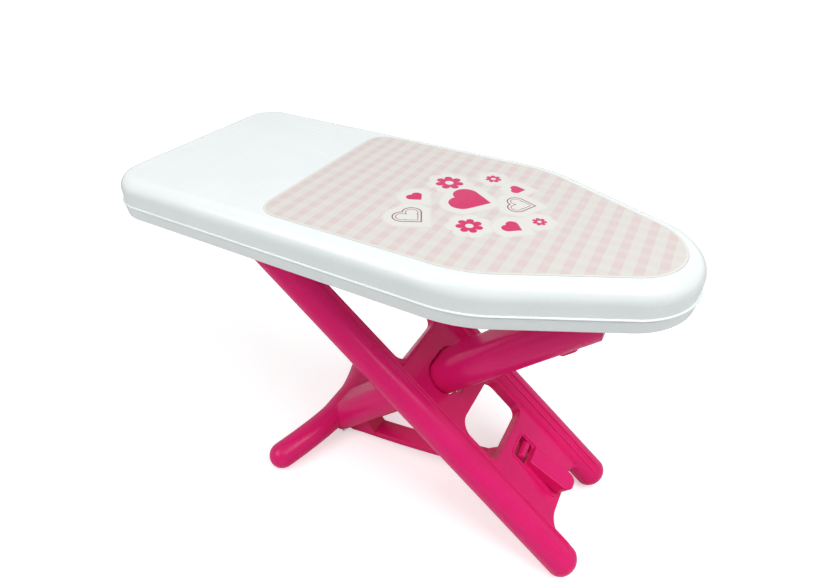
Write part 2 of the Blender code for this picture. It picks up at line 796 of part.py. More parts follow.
def foot_bar(material):
    """The cross bar, with the screws' pilot holes, cut flat where it stands on the floor."""
    screw_tip = BAR_SCREW_LENGTH + PILOT_SPARE - BEAM_HALF_DEPTH + BAR_SCREW_WELL

    def bar(builder):
        foot_bar_body(builder, BAR_RADIUS)

    def pilots(builder):
        for place in bar_screw_places():
            hole = circle(SCREW_SHANK_RADIUS + PILOT_GAP, SCREW_SIDES, place)
            prism(builder, hole, -BEAM_HALF_DEPTH - OVERRUN, screw_tip)

    piece = make("foot_bar", bar, material)
    cut(piece, "bar_pilot_guide", pilots, BEAM_FRAME)
    cut(piece, "foot_bar_floor_guide", floor_block)


def foot_bar_screws(material):
    """Two screws from the beam's underside into the foot bar."""
    head_z = -BEAM_HALF_DEPTH + BAR_SCREW_WELL - SEAT_GAP - SCREW_HEAD_HEIGHT
    screws("foot_bar_screw", bar_screw_places(), head_z, BAR_SCREW_LENGTH, material, BEAM_FRAME)


def arm_route():
    """Centre line of the lock arm in the XZ plane: the sagging strut, then the hook."""
    up_beam = Vector((math.cos(BEAM_SLANT), math.sin(BEAM_SLANT)))
    slot_middle = LEG_FRAME @ Vector(((SLOT_START + SLOT_END) / 2, 0, 0))
    slot_middle = Vector((slot_middle.x, slot_middle.z))
    knee = slot_middle - up_beam * ARM_KNEE
    root = Vector((ARM_ROOT_X, ARM_FLOOR_GAP + ARM_HALF_DEPTH))
    strut = []
    for step in range(ARM_STEPS):
        share = step / ARM_STEPS
        point = root.lerp(knee, share)
        point.y -= ARM_SAG * 4 * share * (1 - share)
        strut.append(point)
    bend = [knee, knee + up_beam * ARM_HALF_DEPTH]
    tip = slot_middle + up_beam * HOOK_REACH
    return strut + bend, [slot_middle - up_beam * (WEB_UNDER + OVERRUN), tip], up_beam


def lock_arm(material):
    """Flat strut with a root block under the beam, and a barbed hook for the slot."""
    strut, (shoulder, tip), up_beam = arm_route()

    def section(point, along, half_width, half_depth):
        lift = Vector((-along.y, along.x))
        outline = evenly_rounded(rectangle(-half_depth, half_depth, half_width), ARM_CORNER, 2)
        return [(point.x + lift.x * up, across, point.y + lift.y * up) for up, across in outline]

    def arm(builder):
        rings = []
        for index, point in enumerate(strut):
            after = strut[min(index + 1, len(strut) - 1)]
            before = strut[max(index - 1, 0)]
            rings.append(section(point, (after - before).normalized(), ARM_HALF_WIDTH, ARM_HALF_DEPTH))
        rings.append(section(shoulder, up_beam, HOOK_HALF_WIDTH, HOOK_HALF_DEPTH))
        barb = tip - up_beam * BARB_LENGTH
        rings.append(section(barb - up_beam * BARB_DEPTH, up_beam, HOOK_HALF_WIDTH, HOOK_HALF_DEPTH))
        rings.append(section(barb, up_beam, HOOK_HALF_WIDTH, HOOK_HALF_DEPTH + BARB_DEPTH))
        rings.append(section(tip, up_beam, HOOK_HALF_WIDTH - BARB_DEPTH, HOOK_HALF_DEPTH))
        loft(builder, rings)

    def root(builder):
        under = -BEAM_HALF_DEPTH - SEAT_GAP
        high = BEAM_FRAME @ Vector((-ROOT_TOP_REACH, 0, under))
        low = BEAM_FRAME @ Vector((-ROOT_BOTTOM_REACH, 0, under))
        outline = [(low.x, low.z), (low.x + ARM_HALF_DEPTH, ARM_FLOOR_GAP),
                   (high.x + ROOT_LEAN, strut[1].y),
                   (high.x + ROOT_LEAN, strut[1].y + ARM_HALF_DEPTH), (high.x, high.z)]
        side_prism(builder, outline, ARM_HALF_WIDTH + ROOT_STEP)

    def wells(builder):
        for place in arm_screw_places():
            prism(builder, circle(WELL_RADIUS, BOSS_SIDES, place),
                  -BEAM_HALF_DEPTH - ARM_SCREW_WELL, -BEAM_HALF_DEPTH - ARM_SCREW_SEAT)

    def screw_ways(builder):
        for place in arm_screw_places():
            prism(builder, circle(SCREW_SHANK_RADIUS + PILOT_GAP, SCREW_SIDES, place),
                  -BEAM_HALF_DEPTH - ARM_SCREW_SEAT - SEAT_GAP, 0)

    piece = make("lock_arm", arm, material)
    unite(piece, "arm_root_guide", root)
    cut(piece, "arm_well_guide", wells, BEAM_FRAME)
    cut(piece, "arm_screw_guide", screw_ways, BEAM_FRAME)


def lock_arm_screws(material):
    """Two screws through the lock arm's root into the beam's solid foot."""
    head_z = -BEAM_HALF_DEPTH - ARM_SCREW_SEAT - SEAT_GAP - SCREW_HEAD_HEIGHT
    screws("lock_arm_screw", arm_screw_places(), head_z, ARM_SCREW_LENGTH, material, BEAM_FRAME)


def release_tongue(material):
    """Thumb wedge that rocks on the web: pressed at its high end, it lifts at the slot."""
    slot_side = SLOT_START - TONGUE_SLOT_GAP
    seat = WEB_TOP + SEAT_GAP
    outline = [
        (TONGUE_END, seat + TONGUE_LIFT),
        (TONGUE_PIVOT, seat),
        (slot_side, seat),
        (slot_side, TONGUE_SLOT_HEIGHT),
        (TONGUE_END, TONGUE_END_HEIGHT),
    ]

    def wedge(builder):
        side_prism(builder, outline, TONGUE_HALF_WIDTH)
        upright = [
            edge for edge in builder.edges
            if all(abs(vert.co.x - TONGUE_END) < SEAT_GAP for vert in edge.verts)
            and edge.verts[0].co.y == edge.verts[1].co.y
        ]
        bmesh.ops.bevel(
            builder, geom=upright, offset=TONGUE_ROUND, offset_type="OFFSET",
            segments=TONGUE_STEPS, profile=0.5, affect="EDGES", material=-1,
        )
        top = max(builder.faces, key=lambda face: face.calc_center_median().z)
        bmesh.ops.bevel(
            builder, geom=list(top.edges), offset=TONGUE_EDGE, offset_type="OFFSET",
            segments=2, profile=0.5, affect="EDGES", material=-1,
        )

    def stem(builder):
        foot_top = -WEB_UNDER - STEM_FOOT_GAP
        sole = foot_top - STEM_FOOT_HEIGHT
        high = seat + TONGUE_EDGE
        half = [
            (STEM_FOOT_HALF_WIDTH, sole), (STEM_FOOT_HALF_WIDTH, foot_top),
            (STEM_HALF_WIDTH, foot_top), (STEM_HALF_WIDTH, high),
        ]
        profile = half + [(-y, z) for y, z in reversed(half)]
        sides = (TONGUE_PIVOT - STEM_LENGTH / 2, TONGUE_PIVOT + STEM_LENGTH / 2)
        loft(builder, [[(along, y, z) for y, z in profile] for along in sides])

    piece = make("release_tongue", wedge, material, LEG_FRAME)
    unite(piece, "stem_guide", stem, LEG_FRAME)


def build():
    clear_scene()
    white = plastic("glossy white plastic", WHITE, 0.25)
    pink = plastic("hot pink plastic", PINK, 0.30)
    deep_pink = plastic("deep pink plastic", DEEP_PINK, 0.32)
    print_sheet = plastic("printed cover sheet", CREAM, 0.35)
    steel = plastic("zinc plated steel", STEEL, 0.35, 1.0)
    board_top(white)
    board_base(white)
    board_screws(steel)
    cover_sheet(print_sheet)
    wide_leg(pink)
    release_tongue(pink)
    centre_beam(deep_pink)
    foot_bar(deep_pink)
    foot_bar_screws(steel)
    lock_arm(deep_pink)
    lock_arm_screws(steel)


build()
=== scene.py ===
# %% [markdown]
# # A toy ironing board on crossed legs
# The real toy is a handful of plastic mouldings: a white board made of two shells, a printed
# sheet on top, a wide leg with a web, a single oval leg that slides through it, a foot bar and
# a lock arm. A measured model of it, with its moving bodies, is loaded first. Every finer piece
# below is modelled in the same metres and the same place, and rides on one of those bodies.

# %% Load the measured model
import math
from functools import partialmethod

import bmesh
import bpy
from mathutils import Matrix, Vector


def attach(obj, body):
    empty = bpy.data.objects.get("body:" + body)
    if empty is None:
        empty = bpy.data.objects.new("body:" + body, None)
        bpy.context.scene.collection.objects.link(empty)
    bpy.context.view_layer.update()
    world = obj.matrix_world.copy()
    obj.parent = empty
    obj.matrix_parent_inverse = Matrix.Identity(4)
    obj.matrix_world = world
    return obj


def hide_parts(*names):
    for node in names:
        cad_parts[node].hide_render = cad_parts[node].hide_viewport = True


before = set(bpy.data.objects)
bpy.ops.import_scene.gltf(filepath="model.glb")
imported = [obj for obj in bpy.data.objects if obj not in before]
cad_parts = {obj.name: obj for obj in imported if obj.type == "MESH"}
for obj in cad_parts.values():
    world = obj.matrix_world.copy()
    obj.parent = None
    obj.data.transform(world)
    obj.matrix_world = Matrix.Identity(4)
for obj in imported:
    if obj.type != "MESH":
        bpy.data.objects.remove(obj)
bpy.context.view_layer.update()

# %% [markdown]
# ## Sizes that several pieces share
# The board's plan, its heights and the slants of the two legs are needed more than once, so
# they get names here. All lengths are metres. X runs from the square heel of the board to its
# round nose, Y across it, Z up, and the floor is at zero. OVERRUN is how far a cutting tool
# passes the surface that it cuts. NEARLY_ROUND leaves a sliver of a straight edge at the end of
# an oval, where a full half circle would leave an edge of no length.

# %% Shared sizes
BOARD_LENGTH = 0.480
BOARD_WIDTH = 0.220
BOARD_UNDERSIDE = 0.2971
BOARD_TOP = 0.3330
PARTING_Z = 0.3086
SHELL_WALL = 0.0025
SEAT_GAP = 0.0003
OVERRUN = 0.010
NEARLY_ROUND = 0.999

RAIL_FOOT = Vector((0.2065, 0, 0.0140))
RAIL_SLANT = math.radians(39.0)
RAIL_SPREAD = 0.0570
RAIL_FOOT_RADIUS = 0.0162
RAIL_TOP_RADIUS = 0.0150

BEAM_MIDDLE = Vector((0.0505, 0, 0.1433))
BEAM_SLANT = math.radians(44.6)
BEAM_HALF_WIDTH = 0.0272
BEAM_HALF_DEPTH = 0.0175

BOARD_SCREWS = [
    (BOARD_LENGTH * along, BOARD_WIDTH * across * side)
    for along, across in ((-0.43, 0.36), (-0.14, 0.38), (0.15, 0.38), (0.37, 0.20))
    for side in (1, -1)
]
print("board", BOARD_LENGTH, "by", BOARD_WIDTH, "m, top at", BOARD_TOP)

# %% [markdown]
# ## Drawing an outline
# Moulded plastic has no sharp corners in plan. An outline is drawn as a carpenter would: start
# at a corner, and swing a point round the corner's own centre with the spin operator. Spinning
# a single vertex leaves a true arc behind it, which a vertex bevel would only imitate at
# corners that aren't square.

# %% Outline helper
def for_each(corners, value):
    """A list of values, one for each corner; a single value serves them all."""
    return value if isinstance(value, list) else [value] * len(corners)


def draw_outline(bm, corners, radii, steps):
    """Draws a closed outline in plan through rounded corners and returns its edges."""
    radii, steps = for_each(corners, radii), for_each(corners, steps)
    drawn_before = set(bm.edges)
    arcs = []
    count = len(corners)
    for index in range(count):
        corner = Vector(corners[index])
        arriving = (corner - Vector(corners[index - 1])).normalized()
        leaving = (Vector(corners[(index + 1) % count]) - corner).normalized()
        turn = -arriving.angle_signed(leaving)
        start = corner - arriving * radii[index] * math.tan(abs(turn) / 2)
        first = last = bm.verts.new((*start, 0))
        if radii[index]:
            side = math.copysign(radii[index], turn)
            centre = start + Vector((-arriving.y, arriving.x)) * side
            swung = bmesh.ops.spin(
                bm, geom=[first], cent=(*centre, 0), axis=(0, 0, 1), angle=turn, steps=steps[index]
            )
            last = swung["geom_last"][0]
        arcs.append((first, last))
    for (_, last), (first, _) in zip(arcs, arcs[1:] + arcs[:1]):
        bm.edges.new((last, first))
    return [edge for edge in bm.edges if edge not in drawn_before]


def rectangle(low_x, high_x, half_width):
    """Corners of a rectangle that is centred across Y."""
    return [(low_x, -half_width), (high_x, -half_width), (high_x, half_width), (low_x, half_width)]


# %% [markdown]
# ## From an outline to a solid
# A closed loop of edges is filled with one face, and the face is extruded straight up. Edges
# that the mould rounds are found by the angle between their two faces and get a bevel with a
# circular profile. The operators' defaults differ from the editor's, so each is given its
# segments, its profile and its material.

# %% Solid helpers
def fill_outline(bm, edges, height=0.0):
    """Fills a closed outline with one face that looks up."""
    face = bmesh.ops.contextual_create(bm, geom=edges)["faces"][0]
    if face.normal.z < 0:
        face.normal_flip()
    bmesh.ops.translate(bm, verts=face.verts, vec=(0, 0, height))
    return face


def raise_face(bm, face, height):
    """Extrudes a face straight up and returns the new top face."""
    grown = bmesh.ops.extrude_face_region(bm, geom=[face])["geom"]
    moved = [part for part in grown if isinstance(part, bmesh.types.BMVert)]
    bmesh.ops.translate(bm, verts=moved, vec=(0, 0, height))
    return next(part for part in grown if isinstance(part, bmesh.types.BMFace))


def raise_outline(bm, corners, radii, steps, low, high):
    """Makes a straight solid on a rounded outline, from one height to another."""
    face = fill_outline(bm, draw_outline(bm, corners, radii, steps), low)
    raise_face(bm, face, high - low)
    bmesh.ops.recalc_face_normals(bm, faces=bm.faces)


def round_edges(bm, edges, radius, segments):
    """Bevels edges with a circular profile."""
    bmesh.ops.bevel(
        bm, geom=list(edges), offset=radius, offset_type="OFFSET", segments=segments,
        profile=0.5, affect="EDGES", material=-1, clamp_overlap=False,
    )


def corner_edges(bm, wanted, turn=math.radians(30)):
    """Edges whose two faces meet at an angle, among those that wanted(edge) accepts."""
    bm.normal_update()
    return [
        edge for edge in bm.edges
        if edge.is_manifold and edge.calc_face_angle() > turn and wanted(edge)
    ]


def level_at(height, slack=0.0002):
    """A test for edges that lie wholly at one height."""
    return lambda edge: all(abs(vert.co.z - height) < slack for vert in edge.verts)


# %% [markdown]
# ## From a bmesh to a piece, and cutting one piece with another
# Holes and unions use Boolean modifiers that are applied at once, so the next step can bevel
# the edges that they leave. The tools are ordinary pieces that are deleted afterwards.

# %% Piece helpers
def add_object(name, data):
    """Puts a mesh, a lamp or a camera into the scene as an object."""
    made = bpy.data.objects.new(name, data)
    bpy.context.scene.collection.objects.link(made)
    return made


def make_piece(bm, name, place=Matrix()):
    """Turns a bmesh into an object whose place is in its mesh."""
    bmesh.ops.remove_doubles(bm, verts=bm.verts, dist=1e-7)
    bmesh.ops.recalc_face_normals(bm, faces=bm.faces)
    bmesh.ops.transform(bm, matrix=place, verts=bm.verts)
    mesh = bpy.data.meshes.new(name)
    bm.to_mesh(mesh)
    bm.free()
    return add_object(name, mesh)


def apply_modifiers(piece):
    """Turns what the modifiers make into the piece's own mesh."""
    evaluated = piece.evaluated_get(bpy.context.evaluated_depsgraph_get())
    mesh = bpy.data.meshes.new_from_object(evaluated)
    piece.modifiers.clear()
    piece.data = mesh


def combine(piece, operation, tools):
    """Cuts tools out of a piece, joins them to it, or keeps what they share."""
    for tool in tools:
        boolean = piece.modifiers.new(tool.name, "BOOLEAN")
        boolean.operation = operation
        boolean.solver = "MANIFOLD"
        boolean.object = tool
    apply_modifiers(piece)
    for tool in tools:
        bpy.data.objects.remove(tool)


def prism(name, corners, radii, steps, low, high, place=Matrix()):
    """A straight solid on a rounded outline."""
    bm = bmesh.new()
    raise_outline(bm, corners, radii, steps, low, high)
    return make_piece(bm, name, place)


def facing(point, ahead):
    """A place at a point, turned so that its Z looks ahead."""
    return Matrix.Translation(point) @ ahead.to_track_quat("Z", "Y").to_matrix().to_4x4()


def rod(name, radius, start, end, sides=24):
    """A straight round rod between two points."""
    start, end = Vector(start), Vector(end)
    bm = bmesh.new()
    bmesh.ops.create_cone(
        bm, cap_ends=True, segments=sides, radius1=radius, radius2=radius, depth=(end - start).length
    )
    return make_piece(bm, name, facing((start + end) / 2, end - start))


def bridge_all(bm, loops):
    """Bridges each loop of edges to the next and closes both ends."""
    for first, second in zip(loops, loops[1:]):
        bmesh.ops.bridge_loops(bm, edges=first + second)
    bmesh.ops.holes_fill(bm, edges=loops[0] + loops[-1], sides=0)


def swept_bar(name, stations, sides):
    """A closed round bar through stations, each a point, a direction and a radius."""
    bm = bmesh.new()
    loops = []
    for point, ahead, radius in stations:
        ring = bmesh.ops.create_circle(
            bm, segments=sides, radius=radius, matrix=facing(point, ahead)
        )["verts"]
        loops.append(list({edge for vert in ring for edge in vert.link_edges}))
    bridge_all(bm, loops)
    return make_piece(bm, name)


def edit_edges(piece, wanted, radius, segments):
    """Rounds the corner edges of a finished piece that wanted(edge) accepts."""
    bm = bmesh.new()
    bm.from_mesh(piece.data)
    found = corner_edges(bm, wanted)
    round_edges(bm, found, radius, segments)
    bm.to_mesh(piece.data)
    bm.free()
    return len(found)


def finish_piece(piece, body, slot, *nodes, sharp=math.radians(36)):
    """Smooth shading that keeps real corners, and the piece's place in the moving model."""
    piece.data.shade_smooth()
    piece.data.set_sharp_from_angle(angle=sharp)
    weighted = piece.modifiers.new("even shading", "WEIGHTED_NORMAL")
    weighted.keep_sharp = True
    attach(piece, body)
    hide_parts(*nodes)
    print(piece.name, "rides on", body, "with", len(piece.data.polygons), "faces")


# %% [markdown]
# ## The board's plan
# Seen from above the board has a square heel with soft corners, two straight sides, a gentle
# shoulder on each side and a round nose. Moving the outline inwards changes every radius by
# the same amount, so one function serves the shells, the sheet and its recess.

# %% Plan of the board
NOSE_RADIUS = 0.0636
NOSE_TAPER = math.radians(26.5)
SHOULDER_RADIUS = 0.106
HEEL_RADIUS = 0.035


def board_plan(inset, heel_x=-BOARD_LENGTH / 2, heel_radius=HEEL_RADIUS):
    """Corners, radii and steps of the board's outline, moved in by inset."""
    half_width = BOARD_WIDTH / 2 - inset
    nose = NOSE_RADIUS - inset
    apex = BOARD_LENGTH / 2 - NOSE_RADIUS + nose / math.sin(NOSE_TAPER)
    shoulder = apex - half_width / math.tan(NOSE_TAPER)
    heel = heel_x + inset
    corners = [
        (heel, -half_width), (shoulder, -half_width), (apex, 0),
        (shoulder, half_width), (heel, half_width),
    ]
    bend, corner = SHOULDER_RADIUS - inset, heel_radius - inset
    return corners, [corner, bend, nose, bend, corner], [20, 16, 56, 16, 20]


SHEET_HEEL_X = -0.0820
SHEET_MARGIN = 0.0165
SHEET_HEEL_RADIUS = 0.020


def sheet_plan(grow=0.0):
    """The same plan for the printed sheet, which starts further up the board."""
    inset = SHEET_MARGIN - grow
    return board_plan(inset, SHEET_HEEL_X - SHEET_MARGIN, SHEET_HEEL_RADIUS + SHEET_MARGIN)


print("sheet", round(BOARD_LENGTH / 2 - SHEET_MARGIN - SHEET_HEEL_X, 4), "m long")

# %% [markdown]
# ## Upper shell
# The white upper shell is a shallow cup with a generous round edge, where the light lies in a
# broad soft band. A narrow rim stands out at its lower edge: it is the bright line along the
# board's side. The plan is raised by the rim's height, and then one move does the rest twice:
# a level face is inset and pushed upwards. Pushing the top face makes the wall, and pushing
# the bottom face makes the hollow, as the core of a mould does. Solidify would have copied
# the rim's step to the inside. Last comes the shallow recess that the printed sheet lies in.

# %% Upper shell
TOP_EDGE_RADIUS = 0.0130
EDGE_RIM_STEP = 0.0015
EDGE_RIM_HEIGHT = 0.0014
EDGE_RIM_ROUND = 0.0007
RECESS_DEPTH = 0.0006
RECESS_RIM_ROUND = 0.00025


def flat_face(bm, height):
    """The largest level face at one height."""
    bm.normal_update()
    level = [face for face in bm.faces if abs(face.calc_center_median().z - height) < SEAT_GAP / 2]
    return max(level, key=lambda face: face.calc_area())


def inset_and_push(bm, height, inset, distance):
    """Insets the largest level face at a height and pushes it up; returns the pushed face."""
    face = flat_face(bm, height)
    bmesh.ops.inset_region(bm, faces=[face], thickness=inset, use_even_offset=True)
    pushed = raise_face(bm, face, distance)
    bmesh.ops.delete(bm, geom=[face], context="FACES_ONLY")
    return pushed


bm = bmesh.new()
rim_top = PARTING_Z + EDGE_RIM_HEIGHT
raise_outline(bm, *board_plan(0), PARTING_Z, rim_top)
round_edges(bm, corner_edges(bm, lambda edge: True, math.radians(60)), EDGE_RIM_ROUND, 3)
crown = inset_and_push(bm, rim_top, EDGE_RIM_STEP - EDGE_RIM_ROUND, BOARD_TOP - rim_top)
round_edges(bm, crown.edges, TOP_EDGE_RADIUS, 14)
ceiling = BOARD_TOP - SHELL_WALL
core = inset_and_push(bm, PARTING_Z, EDGE_RIM_STEP - EDGE_RIM_ROUND + SHELL_WALL, ceiling - PARTING_Z)
round_edges(bm, core.edges, TOP_EDGE_RADIUS - SHELL_WALL, 8)
upper_shell = make_piece(bm, "upper_shell")
recess = prism("recess", *sheet_plan(SEAT_GAP), BOARD_TOP - RECESS_DEPTH, BOARD_TOP + OVERRUN)
combine(upper_shell, "DIFFERENCE", [recess])
edit_edges(upper_shell, level_at(BOARD_TOP), RECESS_RIM_ROUND, 2)
finish_piece(upper_shell, "board", "white_plastic", "board_top")

# %% [markdown]
# ## Lower shell
# The lower shell sits just inside the upper one's rim, and its skirt tapers inwards so that it
# leaves the mould. Two outlines of the plan, a large one above a smaller one, are bridged. The
# top is opened inside a narrow flange, and Solidify then gives skirt and floor an even wall.
# That is simpler than modelling the inside as well, and this skin has no step to be copied.

# %% Lower shell skin
SKIRT_STEP = 0.0006
SKIRT_TAPER = 0.0012
SKIRT_EDGE_RADIUS = 0.0015
LIP_EDGE_RADIUS = 0.0003
RIM_Z = PARTING_Z - SEAT_GAP
FLANGE = 0.0037

bm = bmesh.new()
rim_loop = draw_outline(bm, *board_plan(SKIRT_STEP))
sole_loop = draw_outline(bm, *board_plan(SKIRT_STEP + SKIRT_TAPER))
fill_outline(bm, rim_loop, RIM_Z)
fill_outline(bm, sole_loop, BOARD_UNDERSIDE)
bmesh.ops.bridge_loops(bm, edges=rim_loop + sole_loop)
bmesh.ops.recalc_face_normals(bm, faces=bm.faces)
round_edges(bm, corner_edges(bm, level_at(BOARD_UNDERSIDE)), SKIRT_EDGE_RADIUS, 5)
round_edges(bm, corner_edges(bm, level_at(RIM_Z)), LIP_EDGE_RADIUS, 2)
mouth = flat_face(bm, RIM_Z)
bmesh.ops.inset_region(bm, faces=[mouth], thickness=FLANGE, use_even_offset=True)
bmesh.ops.delete(bm, geom=[mouth], context="FACES_ONLY")
lower_shell = make_piece(bm, "lower_shell")
wall = lower_shell.modifiers.new("wall", "SOLIDIFY")
wall.thickness = SHELL_WALL
wall.offset = -1
wall.use_even_offset = True
apply_modifiers(lower_shell)
print("skirt and floor:", len(lower_shell.data.polygons), "faces")

# %% [markdown]
# ## Posts, collars, wells and sockets
# Inside the lower shell a post stands over each screw, and a collar stands round each socket,
# so that screws and legs have enough plastic round them. These are plain prisms and rods. They
# start in the middle of the floor's thickness, because a union needs solids that overlap. The
# screw wells and the sockets for the two pegs and the oval leg's head are then cut from below.

# %% Posts, collars, wells and sockets
PEG_X = RAIL_FOOT.x - (BOARD_UNDERSIDE - SEAT_GAP - RAIL_FOOT.z) / math.tan(RAIL_SLANT)
PEG_HALF_LENGTH = 0.0120
PEG_HALF_WIDTH = 0.0075
PEG_HEIGHT = 0.0070
BEAM_HEAD_X = 0.1852
SOCKET_GAP = 0.0005
COLLAR_WALL = 0.0022
COLLAR_TOP = BOARD_UNDERSIDE + 0.0080
HEAD_POCKET_RADIUS = 0.0025
MOUTH_ROUND = 0.0004
POST_RADIUS = 0.0066
WELL_RADIUS = 0.0044
WELL_DEPTH = 0.0030
WELL_ROOF = BOARD_UNDERSIDE + WELL_DEPTH
FLOOR_MIDDLE = BOARD_UNDERSIDE + SHELL_WALL / 2


def peg_plan(side, grow):
    """Oval plan of one peg of the wide leg, grown by a gap or a wall."""
    length, width = PEG_HALF_LENGTH + grow, PEG_HALF_WIDTH + grow
    corners = [(PEG_X + x, side * RAIL_SPREAD + y) for x, y in rectangle(-length, length, width)]
    return corners, width * NEARLY_ROUND, 10


def head_plan(grow):
    """Plan of the pocket that the oval leg's head stands in."""
    slope = BOARD_UNDERSIDE - BEAM_MIDDLE.z - BEAM_HALF_DEPTH / math.cos(BEAM_SLANT)
    enter_x = BEAM_MIDDLE.x + slope / math.tan(BEAM_SLANT)
    half_width = BEAM_HALF_WIDTH + SOCKET_GAP + grow
    corners = rectangle(enter_x - SOCKET_GAP - grow, BEAM_HEAD_X + SOCKET_GAP + grow, half_width)
    return corners, HEAD_POCKET_RADIUS, 5


added, cutters = [], []
for grown, cut in (
    (peg_plan(1, SOCKET_GAP + COLLAR_WALL), peg_plan(1, SOCKET_GAP)),
    (peg_plan(-1, SOCKET_GAP + COLLAR_WALL), peg_plan(-1, SOCKET_GAP)),
    (head_plan(COLLAR_WALL), head_plan(0)),
):
    added.append(prism("collar", *grown, FLOOR_MIDDLE, COLLAR_TOP))
    cutters.append(prism("socket", *cut, BOARD_UNDERSIDE - OVERRUN, COLLAR_TOP + OVERRUN))
for x, y in BOARD_SCREWS:
    added.append(rod("post", POST_RADIUS, (x, y, FLOOR_MIDDLE), (x, y, WELL_ROOF + SHELL_WALL)))
    cutters.append(rod("well", WELL_RADIUS, (x, y, BOARD_UNDERSIDE - OVERRUN), (x, y, WELL_ROOF), 32))
combine(lower_shell, "UNION", added)
combine(lower_shell, "DIFFERENCE", cutters)
edit_edges(lower_shell, level_at(BOARD_UNDERSIDE), MOUTH_ROUND, 2)
finish_piece(lower_shell, "board", "white_plastic", "board_base")

# %% [markdown]
# ## The printed sheet
# The sheet is a thin plastic film, stuck in the recess. It is the plan outline again, raised
# by little more than half a millimetre, with its top edge just broken so that it catches light.
# The print stops short of the cut edge. Insetting the top face and marking its rim in a vertex
# attribute lets the material find that border, whatever the outline does.

# %% Printed sheet
SHEET_THICKNESS = 0.0006
PLAIN_BORDER = 0.0017
FILM_GROWTH = 0.0002
FILM_EDGE_ROUND = 0.00018
sheet_low = BOARD_TOP - RECESS_DEPTH + SEAT_GAP
sheet_top = sheet_low + SHEET_THICKNESS

bm = bmesh.new()
border_mark = bm.verts.layers.float.new("plain_border")
raise_outline(bm, *sheet_plan(FILM_GROWTH), sheet_low, sheet_top)
round_edges(bm, corner_edges(bm, level_at(sheet_top)), FILM_EDGE_ROUND, 2)
for vert in bm.verts:
    vert[border_mark] = 1.0
printed = flat_face(bm, sheet_top)
bmesh.ops.inset_region(bm, faces=[printed], thickness=PLAIN_BORDER, use_even_offset=True)
for vert in printed.verts:
    vert[border_mark] = 0.0
cover = make_piece(bm, "printed_cover")
finish_piece(cover, "board", "printed_sheet", "cover_sheet")

# %% [markdown]
# ## The wide leg
# One moulding makes two round rails, the web that joins them and every opening in the web. It
# is easiest to model lying down, with X up the leg from its feet, and to turn it into place at
# the end. The web comes first, as a plate with its openings punched, because then one bevel
# can round all their rims at once. The oval leg crosses the web at a little under a right
# angle, so its hole is about a millimetre wider all round.

# %% Web with its openings
LEG_PLACE = (
    Matrix.Translation(RAIL_FOOT)
    @ Matrix.Rotation(RAIL_SLANT, 4, "Y")
    @ Matrix.Rotation(math.pi, 4, "Z")
)
WEB_TOP = 0.0065
WEB_UNDER = 0.0060
WEB_END = 0.2440
STRIP_INNER = 0.0383
ARCH_CROWN = 0.0294
ARCH_HALF_WIDTH = 0.0445
RAIL_REACH = 0.490
SLIDE_GAP = 0.0011
WEB_RIM_ROUND = 0.0009

web_corners = [
    (0, -RAIL_SPREAD), (RAIL_REACH, -RAIL_SPREAD), (RAIL_REACH, -STRIP_INNER),
    (WEB_END, -STRIP_INNER), (WEB_END, STRIP_INNER), (RAIL_REACH, STRIP_INNER),
    (RAIL_REACH, RAIL_SPREAD), (0, RAIL_SPREAD), (0, ARCH_HALF_WIDTH),
    (ARCH_CROWN, ARCH_HALF_WIDTH), (ARCH_CROWN, -ARCH_HALF_WIDTH), (0, -ARCH_HALF_WIDTH),
]
web_radii = [0, 0, 0, 0.011, 0.011, 0, 0, 0, 0, 0.0195, 0.0195, 0]
wide_leg = prism("webbed_leg", web_corners, web_radii, 16, -WEB_UNDER, WEB_TOP)

crossing = LEG_PLACE.inverted() @ BEAM_MIDDLE
hole_depth = BEAM_HALF_DEPTH + SLIDE_GAP
# Each opening: from and to along the leg, half its width, its corner radii and their steps
openings = {
    "window": (0.1105, 0.1615, STRIP_INNER, [0.009, 0.015, 0.015, 0.009], 12),
    "hook_slot": (0.0815, 0.0980, 0.0125, 0.003, 8),
    "stem_hole": (0.0520, 0.0600, 0.0058, 0.001, 4),
    "beam_hole": (crossing.x - hole_depth, crossing.x + hole_depth, BEAM_HALF_WIDTH + SLIDE_GAP,
                  hole_depth * NEARLY_ROUND, 20),
    "key_way": (crossing.x - 0.0238, crossing.x - 0.0100, 0.0125, 0.002, 5),
}
punches = [
    prism(name, rectangle(*sizes), radii, steps, -WEB_UNDER - OVERRUN, WEB_TOP + OVERRUN)
    for name, (*sizes, radii, steps) in openings.items()
]
combine(wide_leg, "DIFFERENCE", punches)


def on_rim(edge):
    """Edges of the web's faces that no rail or strip end will cover."""
    height = edge.verts[0].co.z
    level = height > WEB_TOP - SEAT_GAP or height < SEAT_GAP - WEB_UNDER
    inside = all(abs(vert.co.y) < RAIL_SPREAD - SEAT_GAP for vert in edge.verts)
    return level and inside and abs(edge.verts[1].co.z - height) < SEAT_GAP


print("rims rounded:", edit_edges(wide_leg, on_rim, WEB_RIM_ROUND, 3), "edges")

# %% [markdown]
# ## Rails
# A rail is a straight bar with a round foot, and it tapers very slightly towards the board, so
# that it leaves its mould. Its profile is half of its outline: a quarter arc, spun from a
# single vertex and pressed a little blunter, and one straight edge. Spinning this profile all
# the way round the rail's axis makes the bar and its dome in one step, and the doubles where
# the profile touches the axis are merged.

# %% Rails
RAIL_DOME_DEPTH = 0.0128
RAIL_LENGTH = (BOARD_UNDERSIDE - SEAT_GAP - RAIL_FOOT.z) / math.sin(RAIL_SLANT)
RAIL_TAPER = (RAIL_FOOT_RADIUS - RAIL_TOP_RADIUS) * RAIL_REACH / RAIL_LENGTH


